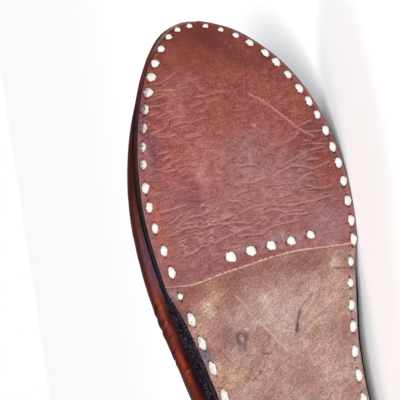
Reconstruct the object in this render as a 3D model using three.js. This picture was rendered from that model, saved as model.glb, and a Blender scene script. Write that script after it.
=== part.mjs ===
// A hand-sewn leather khussa: the left slip-on of a pair with a nearly straight last.
// A hollow leather upper with a bound collar stands on a layered leather sole, whose front
// half carries a second tread sheet. The shoe lies on its side, sole edge and upper on the floor.
import * as THREE from "three";

// Driving dimensions in millimetres. The shoe's own frame has X from heel to toe,
// Y across and Z up from the ground that it would be worn on.
const LENGTH = 300;
const BALL_WIDTH = 103;
const WAIST_WIDTH = 75;
const HEEL_WIDTH = 72;
const TOE_LENGTH = 91; // toe tip back to the ball
const TOE_LEAN = 5; // toe tip to the inner side, towards -Y
const TOE_LEAN_GROWTH = 6; // power with which the lean grows from ball to tip
const WAIST_AT = 80; // heel end to the narrowest place
const HEEL_LENGTH = 37; // heel end to the full heel width
const INSTEP_HEIGHT = 61; // ground to the throat of the upper
const HEEL_HEIGHT = 71; // ground to the top of the back
const TOE_SPRING = 15;
const TOE_SPRING_FROM = 212; // heel end to where the forefoot leaves the ground
const ARCH_RISE = 2;
const ARCH_FROM = 74; // heel end to the back of the arch
const ARCH_TO = 168; // heel end to its front
const WAIST_EASE = 0.45; // how long the side's curves run level at their ends
const TOE_EASE = 0.5; // the same for the toe, where 0.55 would be an ellipse

const HALF_SOLE = 2; // front tread sheet
const SKIVED_EDGE = 0.9; // its back edge, pared thin
const SKIVE_LENGTH = 11;
const SEAM_AT = 177; // heel end to that back edge
const SEAM_SKEW = 1.8; // its +Y end lies so much nearer the heel
const OUTSOLE = 3;
const MIDSOLE = 4.2;
const INSOLE = 2.4;
const WALL = 2.2; // upper leather with its lining
const GAP = 0.3; // between pieces that meet
const LEDGE = 2.4; // midsole edge outside the foot of the upper
const INSOLE_CLEARANCE = 0.8;

const BINDING_LEATHER = 0.9;
const BINDING_DEPTH = 5;
const BINDING_CROWN = 0.6; // share of its width that is flat on top
const BINDING_GAP = 0.45; // its two sides to the wall between them

// Lying on its side: the turns that bring sole edge and upper to the floor together.
const REST_ROLL = 4.595;
const REST_PITCH = -5.33;

const HALF_STEPS = 40; // steps from heel to toe along one side
const WALL_STEPS = 12; // steps up the wall of the upper

const UP = new THREE.Vector3(0, 0, 1);
const STACK = HALF_SOLE + OUTSOLE + MIDSOLE + 2 * GAP;

// How far the tread's edge is cut in under the midsole's edge, along the sole.
const BEVEL_ROWS = [
  { at: 0, bevel: 3 },
  { at: 60, bevel: 3.6 },
  { at: 110, bevel: 4.8 },
  { at: 160, bevel: 4.9 },
  { at: 179, bevel: 1 },
  { at: 250, bevel: 0.8 },
  { at: LENGTH, bevel: 0.8 },
];

// The wall of the upper, a row for each section from the heel's back to the toe's centre line.
// share is the place along the foot line, collarX, collarHalf and collarZ its top edge, and the
// others how far the wall swells out and up from its foot and out and down from its top. The
// inner side swells out by innerOut more.
const WALL_ROWS = [
  { share: 0, collarX: 7, collarHalf: 0, collarZ: HEEL_HEIGHT,
    footOut: 4, innerOut: 0, footUp: 24, topOut: 3, topDrop: 20,
  },
  { share: 0.16, collarX: 34, collarHalf: 27, collarZ: 64,
    footOut: 9.5, innerOut: 2, footUp: 18, topOut: 8, topDrop: 16,
  },
  { share: 0.36, collarX: 98, collarHalf: 33, collarZ: 52,
    footOut: 10, innerOut: 5, footUp: 14, topOut: 9, topDrop: 13,
  },
  { share: 0.5, collarX: 142, collarHalf: 34, collarZ: 51,
    footOut: 10, innerOut: 5.4, footUp: 14, topOut: 13, topDrop: 11,
  },
  { share: 0.63, collarX: 169, collarHalf: 26, collarZ: 55,
    footOut: 9, innerOut: 6.4, footUp: 18, topOut: 21, topDrop: 5,
  },
  { share: 0.8, collarX: 182, collarHalf: 11.5, collarZ: 60,
    footOut: 4, innerOut: 7, footUp: 19, topOut: 40, topDrop: 8,
  },
  { share: 1, collarX: 184, collarHalf: 0, collarZ: INSTEP_HEIGHT,
    footOut: 4, innerOut: 0, footUp: 16, topOut: 58, topDrop: 15,
  },
];

const leather = (color, roughness) =>
  new THREE.MeshStandardMaterial({ color, roughness, metalness: 0 });
const UPPER_LEATHER = leather(0x7c2f1e, 0.35);
const BINDING_DARK = leather(0x1e1413, 0.5);
const SOLE_EDGE_BLACK = leather(0x24242a, 0.8);
const TREAD_RED = leather(0xa6625a, 0.6);
const TREAD_TAN = leather(0xb08b84, 0.7);
const FOOTBED_TAN = leather(0xb98a5e, 0.7);

const smoothstep = THREE.MathUtils.smoothstep;

// A smooth curve through one column of a table. parity 1 mirrors the column at its ends, so that
// it runs level there, and parity -1 turns it over, so that it runs straight through zero.
function column(rows, key, name, place, parity = 1) {
  const first = rows[0][key];
  const last = rows[rows.length - 1][key];
  const ghost = (row, end) => ({ [key]: 2 * end - row[key], [name]: parity * row[name] });
  const all = [ghost(rows[1], first), ...rows, ghost(rows[rows.length - 2], last)];
  let k = 1;
  while (k < rows.length - 1 && place > all[k + 1][key]) k += 1;
  const step = all[k + 1][key] - all[k][key];
  const slope = (i) =>
    (all[i + 1][name] - all[i - 1][name]) / (all[i + 1][key] - all[i - 1][key]);
  const t = THREE.MathUtils.clamp((place - all[k][key]) / step, 0, 1);
  const rise = all[k + 1][name] - all[k][name];
  const a = slope(k) * step - rise;
  const b = rise - slope(k + 1) * step;
  return all[k][name] + rise * t + t * (1 - t) * (a * (1 - t) + b * t);
}

// Half of the midsole's outline before the toe leans, heel end to toe tip.
function halfOutline() {
  const ball = { x: LENGTH - TOE_LENGTH, y: BALL_WIDTH / 2 };
  const waist = { x: WAIST_AT, y: WAIST_WIDTH / 2 };
  const heel = { x: HEEL_LENGTH, y: HEEL_WIDTH / 2 };
  const path = new THREE.Path();
  path.absellipse(heel.x, 0, HEEL_LENGTH, heel.y, Math.PI, Math.PI / 2, true);
  const ease = (from, to) => {
    const reach = (to.x - from.x) * WAIST_EASE;
    path.bezierCurveTo(from.x + reach, from.y, to.x - reach, to.y, to.x, to.y);
  };
  ease(heel, waist);
  ease(waist, ball);
  path.bezierCurveTo(ball.x + TOE_LENGTH * TOE_EASE, ball.y, LENGTH, ball.y * TOE_EASE, LENGTH, 0);
  return path.getSpacedPoints(HALF_STEPS);
}

// How far the toe leans at a place along the sole.
function toeLean(x) {
  const beyondBall = Math.max(0, (x - LENGTH + TOE_LENGTH) / TOE_LENGTH);
  return TOE_LEAN * beyondBall ** TOE_LEAN_GROWTH;
}

// The whole outline as a ring of places, heel end first and then up the +Y side, each with its
// outward direction and its share of the way from heel to toe.
function outlineRing() {
  const side = halfOutline();
  const back = side.slice(1, -1).reverse().map((p) => new THREE.Vector2(p.x, -p.y));
  const ring = [...side, ...back].map((p) => new THREE.Vector2(p.x, p.y - toeLean(p.x)));
  return ring.map((p, i) => {
    const before = ring[(i + ring.length - 1) % ring.length];
    const after = ring[(i + 1) % ring.length];
    const out = new THREE.Vector2(before.y - after.y, after.x - before.x).normalize();
    const share = (i <= HALF_STEPS ? i : ring.length - i) / HALF_STEPS;
    return { x: p.x, y: p.y, outX: out.x, outY: out.y, share, side: i <= HALF_STEPS ? 1 : -1 };
  });
}

const OUTLINE = outlineRing();
const RING = OUTLINE.length;

// Underside of the outsole above the ground: flat heel, low arch, flat ball, toe spring.
function undersideZ(x) {
  const along = smoothstep(x, ARCH_FROM, ARCH_TO);
  const ball = (HALF_SOLE + GAP) * along;
  const arch = ARCH_RISE * Math.sin(Math.PI * along) ** 2;
  const spring = Math.max(0, (x - TOE_SPRING_FROM) / (LENGTH - TOE_SPRING_FROM));
  return ball + arch + TOE_SPRING * spring ** 2;
}

const soleTopZ = (x) => undersideZ(x) + OUTSOLE + GAP + MIDSOLE;

// A place on the sole's bevelled edge, depth below the midsole's top.
function edgePlace(place, depth) {
  const inset = (column(BEVEL_ROWS, "at", "bevel", place.x) * depth) / STACK;
  const x = place.x - place.outX * inset;
  return new THREE.Vector3(x, place.y - place.outY * inset, soleTopZ(place.x) - depth);
}

// Closed geometry from triangles that share numbered points.
function geometryOf(points, triangles) {
  const geometry = new THREE.BufferGeometry().setFromPoints(points);
  geometry.setIndex(triangles.flat());
  geometry.computeVertexNormals();
  return geometry;
}

// Triangles that join two rings of equal length, the second one lying outward or upward of the
// first as the ring runs, so that their faces point out.
function band(from, to, count) {
  const triangles = [];
  for (let i = 0; i < count; i += 1) {
    const next = (i + 1) % count;
    triangles.push([from + i, to + next, from + next], [from + i, to + i, to + next]);
  }
  return triangles;
}

// Triangles across a symmetric ring: rungs that join each place to its mirror image.
function rungs(start, count, facesUp) {
  const triangles = [];
  const half = count / 2;
  for (let i = 0; i < half; i += 1) {
    const [a, b] = [start + i, start + i + 1];
    const [c, d] = [start + ((count - i) % count), start + count - i - 1];
    if (i > 0) triangles.push([a, b, c]);
    if (i < half - 1) triangles.push([b, d, c]);
  }
  return facesUp ? triangles.map(([a, b, c]) => [a, c, b]) : triangles;
}

// A sheet between two symmetric rings of equal length.
function sheet(bottom, top) {
  const count = bottom.length;
  const triangles = [
    ...rungs(0, count, false),
    ...band(0, count, count),
    ...rungs(count, count, true),
  ];
  return geometryOf([...bottom, ...top], triangles);
}

const solePiece = (topDepth, bottomDepth) =>
  sheet(
    OUTLINE.map((p) => edgePlace(p, bottomDepth)),
    OUTLINE.map((p) => edgePlace(p, topDepth)),
  );

const midsole = () => solePiece(0, MIDSOLE);
const outsole = () => solePiece(MIDSOLE + GAP, MIDSOLE + GAP + OUTSOLE);

// The front tread sheet: the sole's edge ahead of the seam, pared thin along its back edge.
function halfSole() {
  const topDepth = STACK - HALF_SOLE;
  const thickness = (x) =>
    THREE.MathUtils.lerp(SKIVED_EDGE, HALF_SOLE, smoothstep(x, SEAM_AT, SEAM_AT + SKIVE_LENGTH));
  const ahead = OUTLINE.filter((p) => p.x > SEAM_AT + 2 * SEAM_SKEW);
  const corner = (side) => {
    const x = SEAM_AT - side * SEAM_SKEW;
    const next = OUTLINE.findIndex((p) => p.x > x);
    const [a, b] = [OUTLINE[next - 1], OUTLINE[next]];
    const mix = (name) => THREE.MathUtils.mapLinear(x, a.x, b.x, a[name], b[name]);
    return { x, y: side * mix("y"), outX: mix("outX"), outY: side * mix("outY") };
  };
  // The ring starts half way along the back edge and runs round the toe.
  const places = [corner(1), ...ahead, corner(-1)];
  const level = (depthAt) => {
    const rim = places.map((p) => edgePlace(p, depthAt(p.x)));
    const back = rim[0].clone().add(rim[rim.length - 1]).multiplyScalar(0.5);
    return [back, ...rim];
  };
  return sheet(level((x) => topDepth + thickness(x)), level(() => topDepth));
}

// The upper's wall: a swelling curve from its foot on the sole to the collar.
function wallCurve(place) {
  const at = (name, parity) => column(WALL_ROWS, "share", name, place.share, parity);
  const out = new THREE.Vector3(place.outX, place.outY, 0);
  const foot = new THREE.Vector3(place.x, place.y, soleTopZ(place.x) + GAP).addScaledVector(out, -LEDGE);
  const collar = new THREE.Vector3(at("collarX"), place.side * at("collarHalf", -1), at("collarZ"));
  const away = foot.clone().sub(collar).setZ(0).normalize();
  const swell = at("footOut") + (place.side < 0 ? at("innerOut") : 0);
  const low = foot.clone().addScaledVector(out, swell).addScaledVector(UP, at("footUp"));
  const high = collar.clone().addScaledVector(away, at("topOut")).addScaledVector(UP, -at("topDrop"));
  return new THREE.CubicBezierCurve3(foot, low, high, collar);
}

const WALL_CURVES = OUTLINE.map(wallCurve);

// The outward direction at every point of a wall's rows, listed from the lowest up.
function outwardFrom(rows) {
  return rows.map((row, r) =>
    row.map((p, i) => {
      const along = row[(i + 1) % RING].clone().sub(row[(i + RING - 1) % RING]);
      const up = rows[Math.min(r + 1, rows.length - 1)][i].clone().sub(rows[Math.max(r - 1, 0)][i]);
      return up.cross(along).normalize();
    }),
  );
}

const moved = (row, directions, distance) =>
  row.map((p, i) => p.clone().addScaledVector(directions[i], distance));

// A closed ring of leather from loops listed once round its section.
function hoop(loops) {
  const triangles = loops.flatMap((loop, k) => band(k * RING, ((k + 1) % loops.length) * RING, RING));
  return geometryOf(loops.flat(), triangles);
}

// The upper: outer side from foot to collar, then the inner side back down.
function upper() {
  const rows = [];
  for (let r = 0; r <= WALL_STEPS; r += 1) rows.push(WALL_CURVES.map((c) => c.getPoint(r / WALL_STEPS)));
  const out = outwardFrom(rows);
  out[0].forEach((direction) => direction.setZ(0).normalize());
  const inner = rows.map((row, r) => moved(row, out[r], -WALL)).reverse();
  return hoop([...rows, ...inner]);
}

// The insole lies on the midsole inside the upper.
function insole() {
  const inset = LEDGE + WALL + INSOLE_CLEARANCE;
  const ring = (lift) =>
    OUTLINE.map(
      (p) => new THREE.Vector3(p.x - p.outX * inset, p.y - p.outY * inset, soleTopZ(p.x) + GAP + lift),
    );
  return sheet(ring(0), ring(INSOLE));
}

// The binding: a strip folded over the collar's edge, following the wall on both of its sides.
function collarBinding() {
  const rowAt = (depth) => WALL_CURVES.map((c) => c.getPointAt(1 - depth / c.getLength()));
  const [low, top] = [rowAt(BINDING_DEPTH), rowAt(0)];
  const [lowOut, topOut] = outwardFrom([low, top]);
  const up = top.map((p, i) => p.clone().sub(low[i]).normalize());
  const hem = (across) => moved(low, lowOut, across - WALL / 2);
  const rim = (across, rise) => moved(moved(top, topOut, across - WALL / 2), up, rise);
  const inner = WALL / 2 + BINDING_GAP;
  const outer = inner + BINDING_LEATHER;
  const crown = GAP + BINDING_LEATHER;
  return hoop([
    hem(outer),
    rim(outer, 0),
    rim(outer * BINDING_CROWN, crown),
    rim(-outer * BINDING_CROWN, crown),
    rim(-outer, 0),
    hem(-outer),
    hem(-inner),
    rim(-inner, GAP),
    rim(inner, GAP),
    hem(inner),
  ]);
}

const shoe = new THREE.Group();
function addPiece(name, geometry, material) {
  const mesh = new THREE.Mesh(geometry, material);
  mesh.name = name;
  shoe.add(mesh);
}
addPiece("upper", upper(), UPPER_LEATHER);
addPiece("collar_binding", collarBinding(), BINDING_DARK);
addPiece("insole", insole(), FOOTBED_TAN);
addPiece("midsole", midsole(), SOLE_EDGE_BLACK);
addPiece("outsole", outsole(), TREAD_TAN);
addPiece("half_sole", halfSole(), TREAD_RED);

// Laid on its +Y side, sole towards -Y and toe towards +X, with its box centred over the origin.
shoe.rotation.set(THREE.MathUtils.degToRad(REST_ROLL - 90), 0, 0);
const khussa = new THREE.Group();
khussa.rotation.set(0, THREE.MathUtils.degToRad(REST_PITCH), 0);
khussa.add(shoe);
const part = new THREE.Group();
part.add(khussa);
const box = new THREE.Box3().setFromObject(part, true);
khussa.position.set(-(box.min.x + box.max.x) / 2, -(box.min.y + box.max.y) / 2, -box.min.z);

export default part;
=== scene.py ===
"""A hand-sewn leather khussa lying on its side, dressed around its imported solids.

Shapes are worked out in the shoe's own frame, in millimetres: X from heel to toe, Y across and
Z up from the ground that the shoe would be worn on. They are laid into the frame's metres last.
"""

import logging
import math
from dataclasses import dataclass, field
from enum import Enum
from functools import cached_property
from typing import Callable, Iterable, Optional, Sequence, Union

import bmesh
import bpy
import numpy as np
from mathutils import Matrix, Vector


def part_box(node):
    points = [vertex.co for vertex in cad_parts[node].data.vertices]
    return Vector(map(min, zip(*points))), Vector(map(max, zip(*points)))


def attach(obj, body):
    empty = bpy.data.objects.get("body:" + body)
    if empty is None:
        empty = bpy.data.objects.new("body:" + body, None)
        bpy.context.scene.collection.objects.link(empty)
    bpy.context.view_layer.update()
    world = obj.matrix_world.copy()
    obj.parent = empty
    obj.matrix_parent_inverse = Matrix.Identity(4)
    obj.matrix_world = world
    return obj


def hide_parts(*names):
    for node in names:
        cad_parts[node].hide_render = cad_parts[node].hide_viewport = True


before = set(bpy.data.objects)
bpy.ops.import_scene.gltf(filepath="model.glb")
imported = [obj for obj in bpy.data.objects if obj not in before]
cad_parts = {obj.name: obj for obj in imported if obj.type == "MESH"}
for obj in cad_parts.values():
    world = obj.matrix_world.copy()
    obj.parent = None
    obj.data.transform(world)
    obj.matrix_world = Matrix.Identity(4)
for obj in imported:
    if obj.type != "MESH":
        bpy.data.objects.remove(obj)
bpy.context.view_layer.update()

Array = np.ndarray
Colour = tuple[float, float, float, float]
Limits = tuple[float, float, float, float]
Point = tuple[float, float]
Place = tuple[float, float, float]
Pair = tuple[Array, Array]
Piece = bpy.types.Object
Material = bpy.types.Material

LOG = logging.getLogger("khussa")
METRES = 0.001
IMAGE_SIZE = 400
STUDIO_LIGHT = 2.0


def tint(red: float, green: float, blue: float) -> Colour:
    """The linear colour that looks like this one, of 0 to 255, under the studio's light."""
    linear = [((c / 255 + 0.055) / 1.055) ** 2.4 / STUDIO_LIGHT for c in (red, green, blue)]
    return (linear[0], linear[1], linear[2], 1.0)


def ease(value: Array, low: float, high: float) -> Array:
    """Rises smoothly from 0 at low to 1 at high."""
    share = np.clip((np.asarray(value, float) - low) / (high - low), 0, 1)
    return share * share * (3 - 2 * share)


def hump(value: Array, centre: float, reach: float) -> Array:
    """A soft hump of height 1 round a centre."""
    return np.exp(-(((np.asarray(value, float) - centre) / reach) ** 2))


def window(value: Array, limits: Limits) -> Array:
    """Rises smoothly from 0 to 1 over the first two limits and falls again over the last two."""
    return ease(value, *limits[:2]) * (1 - ease(value, *limits[2:]))


def cubic(share: Array, *points: Sequence[float]) -> Array:
    """Points along a curve.

    Args:
        share: How far along, 0 to 1.
        points: Its four control points, or four arrays of them.

    Returns:
        The curve's points.
    """
    a, b, c, d = (np.asarray(point, float) for point in points)
    rest = 1 - share
    return rest**3 * a + 3 * rest**2 * share * b + 3 * rest * share**2 * c + share**3 * d


class Value:
    """A shader socket that Python's operators can work on."""

    def __init__(self, shader: "Shader", socket: bpy.types.NodeSocket) -> None:
        """Wraps one output socket of a shader's node."""
        self.shader = shader
        self.socket = socket

    def _math(self, operation: str, first: "Number", second: "Number" = 0.0) -> "Value":
        """Adds a Math node for one operation on two values."""
        return self.shader.node("ShaderNodeMath", {"operation": operation}, {0: first, 1: second})

    def __add__(self, other: "Number") -> "Value":
        """Sum."""
        return self._math("ADD", self, other)

    def __sub__(self, other: "Number") -> "Value":
        """Difference."""
        return self._math("SUBTRACT", self, other)

    def __rsub__(self, other: "Number") -> "Value":
        """Difference from a number."""
        return self._math("SUBTRACT", other, self)

    def __mul__(self, other: "Number") -> "Value":
        """Product."""
        return self._math("MULTIPLY", self, other)

    def __abs__(self) -> "Value":
        """Size without sign."""
        return self._math("ABSOLUTE", self)

    __radd__ = __add__
    __rmul__ = __mul__


Number = Union[Value, float]
Input = Union[Value, float, Sequence[float]]


class Shader:
    """Builds the nodes of one material or of the sky."""

    def __init__(self, owner: Union[Material, bpy.types.World]) -> None:
        """Starts with no nodes at all.

        Args:
            owner: The material or the sky.
        """
        self.owner = owner
        owner.use_nodes = True
        self.tree = owner.node_tree
        self.tree.nodes.clear()

    @classmethod
    def of(cls, name: str) -> "Shader":
        """Starts a new material of that name."""
        return cls(bpy.data.materials.new(name))

    def node(
        self,
        kind: str,
        settings: Optional[dict[str, object]] = None,
        sockets: Optional[dict[Union[str, int], Input]] = None,
        output: Union[str, int] = 0,
    ) -> Value:
        """Adds a node.

        Args:
            kind: The node's type.
            settings: Its own settings, set before its sockets.
            sockets: Values or links of its inputs, by name or number.
            output: Which output to return.

        Returns:
            That output.
        """
        made = self.tree.nodes.new(kind)
        for name, value in (settings or {}).items():
            setattr(made, name, value)
        for name, value in (sockets or {}).items():
            if isinstance(value, Value):
                self.tree.links.new(value.socket, made.inputs[name])
            else:
                made.inputs[name].default_value = value
        return Value(self, made.outputs[output])

    def painted(self, paint: "Paint") -> Value:
        """A mask painted on the mesh."""
        return self.node("ShaderNodeAttribute", {"attribute_name": paint.value}, output="Fac")

    def place(self) -> Value:
        """The shoe's own coordinates in millimetres."""
        return self.node("ShaderNodeAttribute", {"attribute_name": "shoe"}, output="Vector")

    def drawn_out(self, place: Value, stretch: Sequence[float], turn: float = 0.0) -> Value:
        """Coordinates for a texture stretched along each axis, with the axes turned by some degrees."""
        sockets = {"Vector": place, "Rotation": (0, 0, math.radians(turn)), "Scale": stretch}
        return self.node("ShaderNodeMapping", {"vector_type": "TEXTURE"}, sockets)

    def vector(self, operation: str, first: Input, second: Input) -> Value:
        """Vector Math on two vectors."""
        return self.node("ShaderNodeVectorMath", {"operation": operation}, {0: first, 1: second})

    def axis(self, name: str) -> Value:
        """One of the shoe's own coordinates, X, Y or Z."""
        return self.node("ShaderNodeSeparateXYZ", {}, {0: self.place()}, output=name)

    def noise(
        self,
        place: Value,
        size: float,
        detail: float = 3.0,
        rough: float = 0.5,
        output: str = "Fac",
    ) -> Value:
        """Cloudy noise about 0.5, with lumps of a size in millimetres and finer ones of that detail."""
        sockets = {"Vector": place, "Scale": 1 / size, "Detail": detail, "Roughness": rough}
        return self.node("ShaderNodeTexNoise", {}, sockets, output)

    def bent(self, place: Value, size: float, reach: float) -> Value:
        """Coordinates pushed about by noise, so that a texture doesn't run straight.

        Args:
            place: Coordinates in millimetres.
            size: Size of the bends.
            reach: How far they push.

        Returns:
            The bent coordinates.
        """
        push = self.noise(place, size, 2.0, output="Color")
        centred = self.vector("SUBTRACT", push, (0.5, 0.5, 0.5))
        return self.vector("ADD", place, self.vector("MULTIPLY", centred, (reach, reach, reach)))

    def rise(self, value: Number, low: float, high: float) -> Value:
        """Rises smoothly from 0 at low to 1 at high."""
        sockets = {"Value": value, "From Min": low, "From Max": high}
        return self.node("ShaderNodeMapRange", {"interpolation_type": "SMOOTHSTEP"}, sockets)

    def mix(self, share: Number, first: Input, second: Input, blend: str = "MIX") -> Value:
        """Mixes a share of the second colour into the first, in one of the ways to blend."""
        settings = {"data_type": "RGBA", "blend_type": blend, "clamp_factor": True}
        return self.node("ShaderNodeMix", settings, {0: share, 6: first, 7: second}, output=2)

    def stained(self, colour: Value, stains: Iterable["Stain"], ragged: Number = 0.5) -> Value:
        """Lays painted stains over a colour, one after another.

        Args:
            colour: The colour below.
            stains: Each stain's mask, colour and share.
            ragged: Noise about 0.5 that makes the stains uneven.

        Returns:
            The stained colour.
        """
        uneven = 0.35 + 1.3 * ragged
        for paint, over, share in stains:
            colour = self.mix(self.painted(paint) * uneven * share, colour, over)
        return colour

    def shaded(self, colour: Value, tone: Number) -> Value:
        """A colour made darker or lighter by a tone about 1."""
        return self.mix(1.0, colour, tone, "MULTIPLY")

    def bump(self, height: Number, depth: float) -> Value:
        """A surface normal from a height of 0 to 1 over a depth in millimetres."""
        return self.node("ShaderNodeBump", {}, {"Height": height, "Distance": depth * METRES})

    def leather(self, sockets: dict[str, Input]) -> Material:
        """Ends the material with a Principled shader that has those inputs."""
        self.end(self.node("ShaderNodeBsdfPrincipled", {}, sockets), "ShaderNodeOutputMaterial")
        return self.owner

    def end(self, surface: Value, kind: str) -> None:
        """Links what has been made to an output of that kind."""
        output = self.tree.nodes.new(kind)
        self.tree.links.new(surface.socket, output.inputs["Surface"])


class Paint(Enum):
    """Masks painted on the leather, each an attribute of its mesh."""

    DARK = "dark"
    PALE = "pale"
    PURPLE = "purple"
    ORANGE = "orange"
    GREY = "grey"
    LINE = "line"
    CUT = "cut"
    HOLE = "hole"
    GOLD = "gold"
    RIM = "rim"
    EDGE = "edge"
    RAW = "raw"
    WRINKLE = "wrinkle"
    LINING = "lining"
    CREASE = "crease"
    SOIL = "soil"


Masks = dict[Paint, Array]
Stain = tuple[Paint, Colour, float]


@dataclass(frozen=True)
class BlackEdge:
    """Black-dyed cut edge of the sole: rough fibres that run along it, with greyish wear."""

    deep: Colour = tint(12, 5, 12)
    worn: Colour = tint(88, 72, 88)
    speck: Colour = tint(128, 124, 136)
    maroon: Colour = tint(66, 20, 24)
    bare: Colour = tint(128, 58, 50)

    def fibres(self, shader: Shader) -> Value:
        """Lengthwise fibres of the cut leather.

        Args:
            shader: The material's nodes.

        Returns:
            Their height, 0 to 1.
        """
        along = shader.drawn_out(shader.bent(shader.place(), 6.0, 1.5), (4, 2, 0.8))
        coarse = shader.noise(along, 1.1, 4.0, 0.65)
        speck = shader.noise(shader.place(), 0.7, 2.0, 0.6)
        return coarse * 0.65 + speck * 0.35

    def colour(self, shader: Shader, fibres: Value) -> Value:
        """The dyed colour over the fibres.

        Args:
            shader: The material's nodes.
            fibres: Its fibres.

        Returns:
            The colour.
        """
        dyed = shader.mix(shader.rise(fibres, 0.44, 0.74), self.deep, self.worn)
        specks = shader.rise(shader.noise(shader.place(), 0.9, 1.0), 0.64, 0.72)
        dyed = shader.mix(specks * 0.5, dyed, self.speck)
        dyed = shader.shaded(dyed, 1 - 0.7 * shader.rise(shader.axis("X"), 170, 215))
        dyed = shader.mix(0.5 * shader.rise(shader.axis("X"), 205, 235), dyed, self.maroon)
        bare = shader.painted(Paint.RAW) * shader.rise(fibres, 0.3, 0.6)
        return shader.mix(bare, dyed, self.bare)

    def laid_over(self, shader: Shader, colour: Value, height: Value) -> tuple[Value, Value]:
        """Lays the dyed edge over a tread where the sheet turns up at its rim.

        Args:
            shader: The tread's nodes.
            colour: The tread's colour.
            height: The tread's height.

        Returns:
            Colour and height with the edge.
        """
        cut_edge = shader.painted(Paint.EDGE)
        fibres = self.fibres(shader)
        return shader.mix(cut_edge, colour, self.colour(shader, fibres)), height + cut_edge * fibres

    def material(self) -> Material:
        """Makes the finish of a layer of which only the edge shows.

        Returns:
            The material.
        """
        shader = Shader.of("black_edge_leather")
        fibres = self.fibres(shader)
        return shader.leather(
            {
                "Base Color": self.colour(shader, fibres),
                "Roughness": 0.95 - 0.2 * fibres,
                "Specular IOR Level": 0.02,
                "Normal": shader.bump(fibres, 0.35),
            }
        )


@dataclass(frozen=True)
class FrontTread:
    """Red-brown sole leather with a web of fine creases, stained and darker at the toe; the creases'
    crests are painted pale, partly as highlight, with painted shade beside them.
    """

    edge: BlackEdge
    red: Colour = tint(157, 83, 71)
    rose: Colour = tint(157, 99, 97)
    toe: Colour = tint(122, 52, 36)
    dark: Colour = tint(96, 40, 34)
    pale: Colour = tint(206, 144, 136)
    purple: Colour = tint(120, 68, 90)
    orange: Colour = tint(178, 82, 54)
    grey: Colour = tint(172, 140, 144)
    # pale of the crease crests, partly a painted highlight and partly paler leather, and of scratches
    crest_highlight_and_scratch: Colour = tint(216, 158, 155)
    # dark red of the painted shade beside creases, of cuts and of the darker mottle
    groove_shade_and_cut: Colour = tint(112, 36, 32)
    raw: Colour = tint(244, 194, 178)
    # lilac of the rubbed rims, partly a painted highlight where the sheet rounds to its edge
    rim: Colour = tint(142, 100, 110)
    # near-black of the painted shade in the stitch holes
    hole: Colour = tint(26, 8, 6)

    def creases(self, shader: Shader, shift: float) -> Value:
        """Fine creases across the sole where it bends, 0 to 1.

        Args:
            shader: The material's nodes.
            shift: How far along the sole they are moved, for the shade beside them.

        Returns:
            How much of a crease each place is.
        """
        total: Number = 0.0
        for size, width, turn, start in ((4.0, 0.03, 6.0, 0.0), (3.0, 0.036, -4.0, 40.0)):
            moved = shader.vector("ADD", shader.place(), (start + shift, start, 0))
            across = shader.drawn_out(shader.bent(moved, 11.0, 4.5), (1, 7.0, 1), turn)
            ripple = shader.noise(across, size, 0.6, 0.5)
            total = total + (1 - shader.rise(abs(ripple - 0.5), 0.0, width))
        breaks = shader.rise(shader.noise(shader.place(), 6.0, 2.0), 0.34, 0.56)
        return total * breaks * shader.painted(Paint.WRINKLE)

    def material(self) -> Material:
        """Makes the finish.

        Returns:
            The material.
        """
        shader = Shader.of("front_tread_leather")
        place = shader.place()
        cloud = shader.noise(place, 22.0, 4.0, 0.55)
        mottle = shader.noise(shader.drawn_out(place, (1, 1.5, 1)), 2.4, 2.0, 0.6)
        blotch = shader.noise(shader.drawn_out(place, (1, 1.4, 1), 20.0), 4.6, 3.0, 0.65)
        speckle = shader.noise(place, 0.9, 2.0, 0.65)
        ridges = self.creases(shader, 0.0)
        shades = self.creases(shader, 0.65)

        along = shader.axis("X") + 50 * cloud
        colour = shader.mix(shader.rise(along, 215, 275), self.rose, self.red)
        colour = shader.mix(shader.rise(along, 266, 332) * 0.9, colour, self.toe)
        stains = (
            (Paint.DARK, self.dark, 0.8),
            (Paint.ORANGE, self.orange, 0.75),
            (Paint.PURPLE, self.purple, 0.8),
            (Paint.GREY, self.grey, 0.75),
            (Paint.PALE, self.pale, 0.75),
            (Paint.RIM, self.rim, 0.8),
        )
        colour = shader.stained(colour, stains, mottle)
        worn = 1 - shader.rise(along, 284, 322) * 0.8
        for tone, least, more in ((blotch, 0.3, 0.2), (mottle, 0.4, 0.2), (speckle, 0.4, 0.3)):
            colour = shader.shaded(colour, 1 + (tone - 0.5) * (least + more * worn))
        for tone, share in ((blotch, 0.14), (mottle, 0.18), (speckle, 0.38)):
            sunken = 1 - shader.rise(tone, 0.26, 0.54)
            rubbed = shader.rise(tone, 0.5, 0.74)
            colour = shader.mix(sunken * worn * share, colour, self.groove_shade_and_cut)
            colour = shader.mix(rubbed * worn * share * 0.8, colour, self.pale)
        # painted shade beside the creases, and a painted highlight, partly paler leather, on their
        # crests
        colour = shader.mix(shades * 0.5, colour, self.groove_shade_and_cut)
        colour = shader.mix(ridges * 0.6, colour, self.crest_highlight_and_scratch)
        # CUT holds cuts and the painted shade beside the listed creases, LINE a scratch and those
        # creases' crests painted pale partly as highlight, HOLE the painted shade in the stitch holes
        marks = (
            (Paint.CUT, self.groove_shade_and_cut, 0.75),
            (Paint.LINE, self.crest_highlight_and_scratch, 0.75),
            (Paint.RAW, self.raw, 1.0),
            (Paint.HOLE, self.hole, 1.0),
        )
        colour = shader.stained(colour, marks)
        height = speckle * 0.25 + mottle * 0.35 + ridges * 0.34 - shades * 0.15
        colour, height = self.edge.laid_over(shader, colour, height)
        return shader.leather(
            {
                "Base Color": colour,
                "Roughness": 0.46 + 0.25 * speckle + 0.4 * shader.painted(Paint.EDGE),
                "Specular IOR Level": 0.16,
                "Coat Weight": shader.painted(Paint.RIM) * 0.2,
                "Coat Roughness": 0.35,
                "Normal": shader.bump(height, 0.5),
            }
        )


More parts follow.
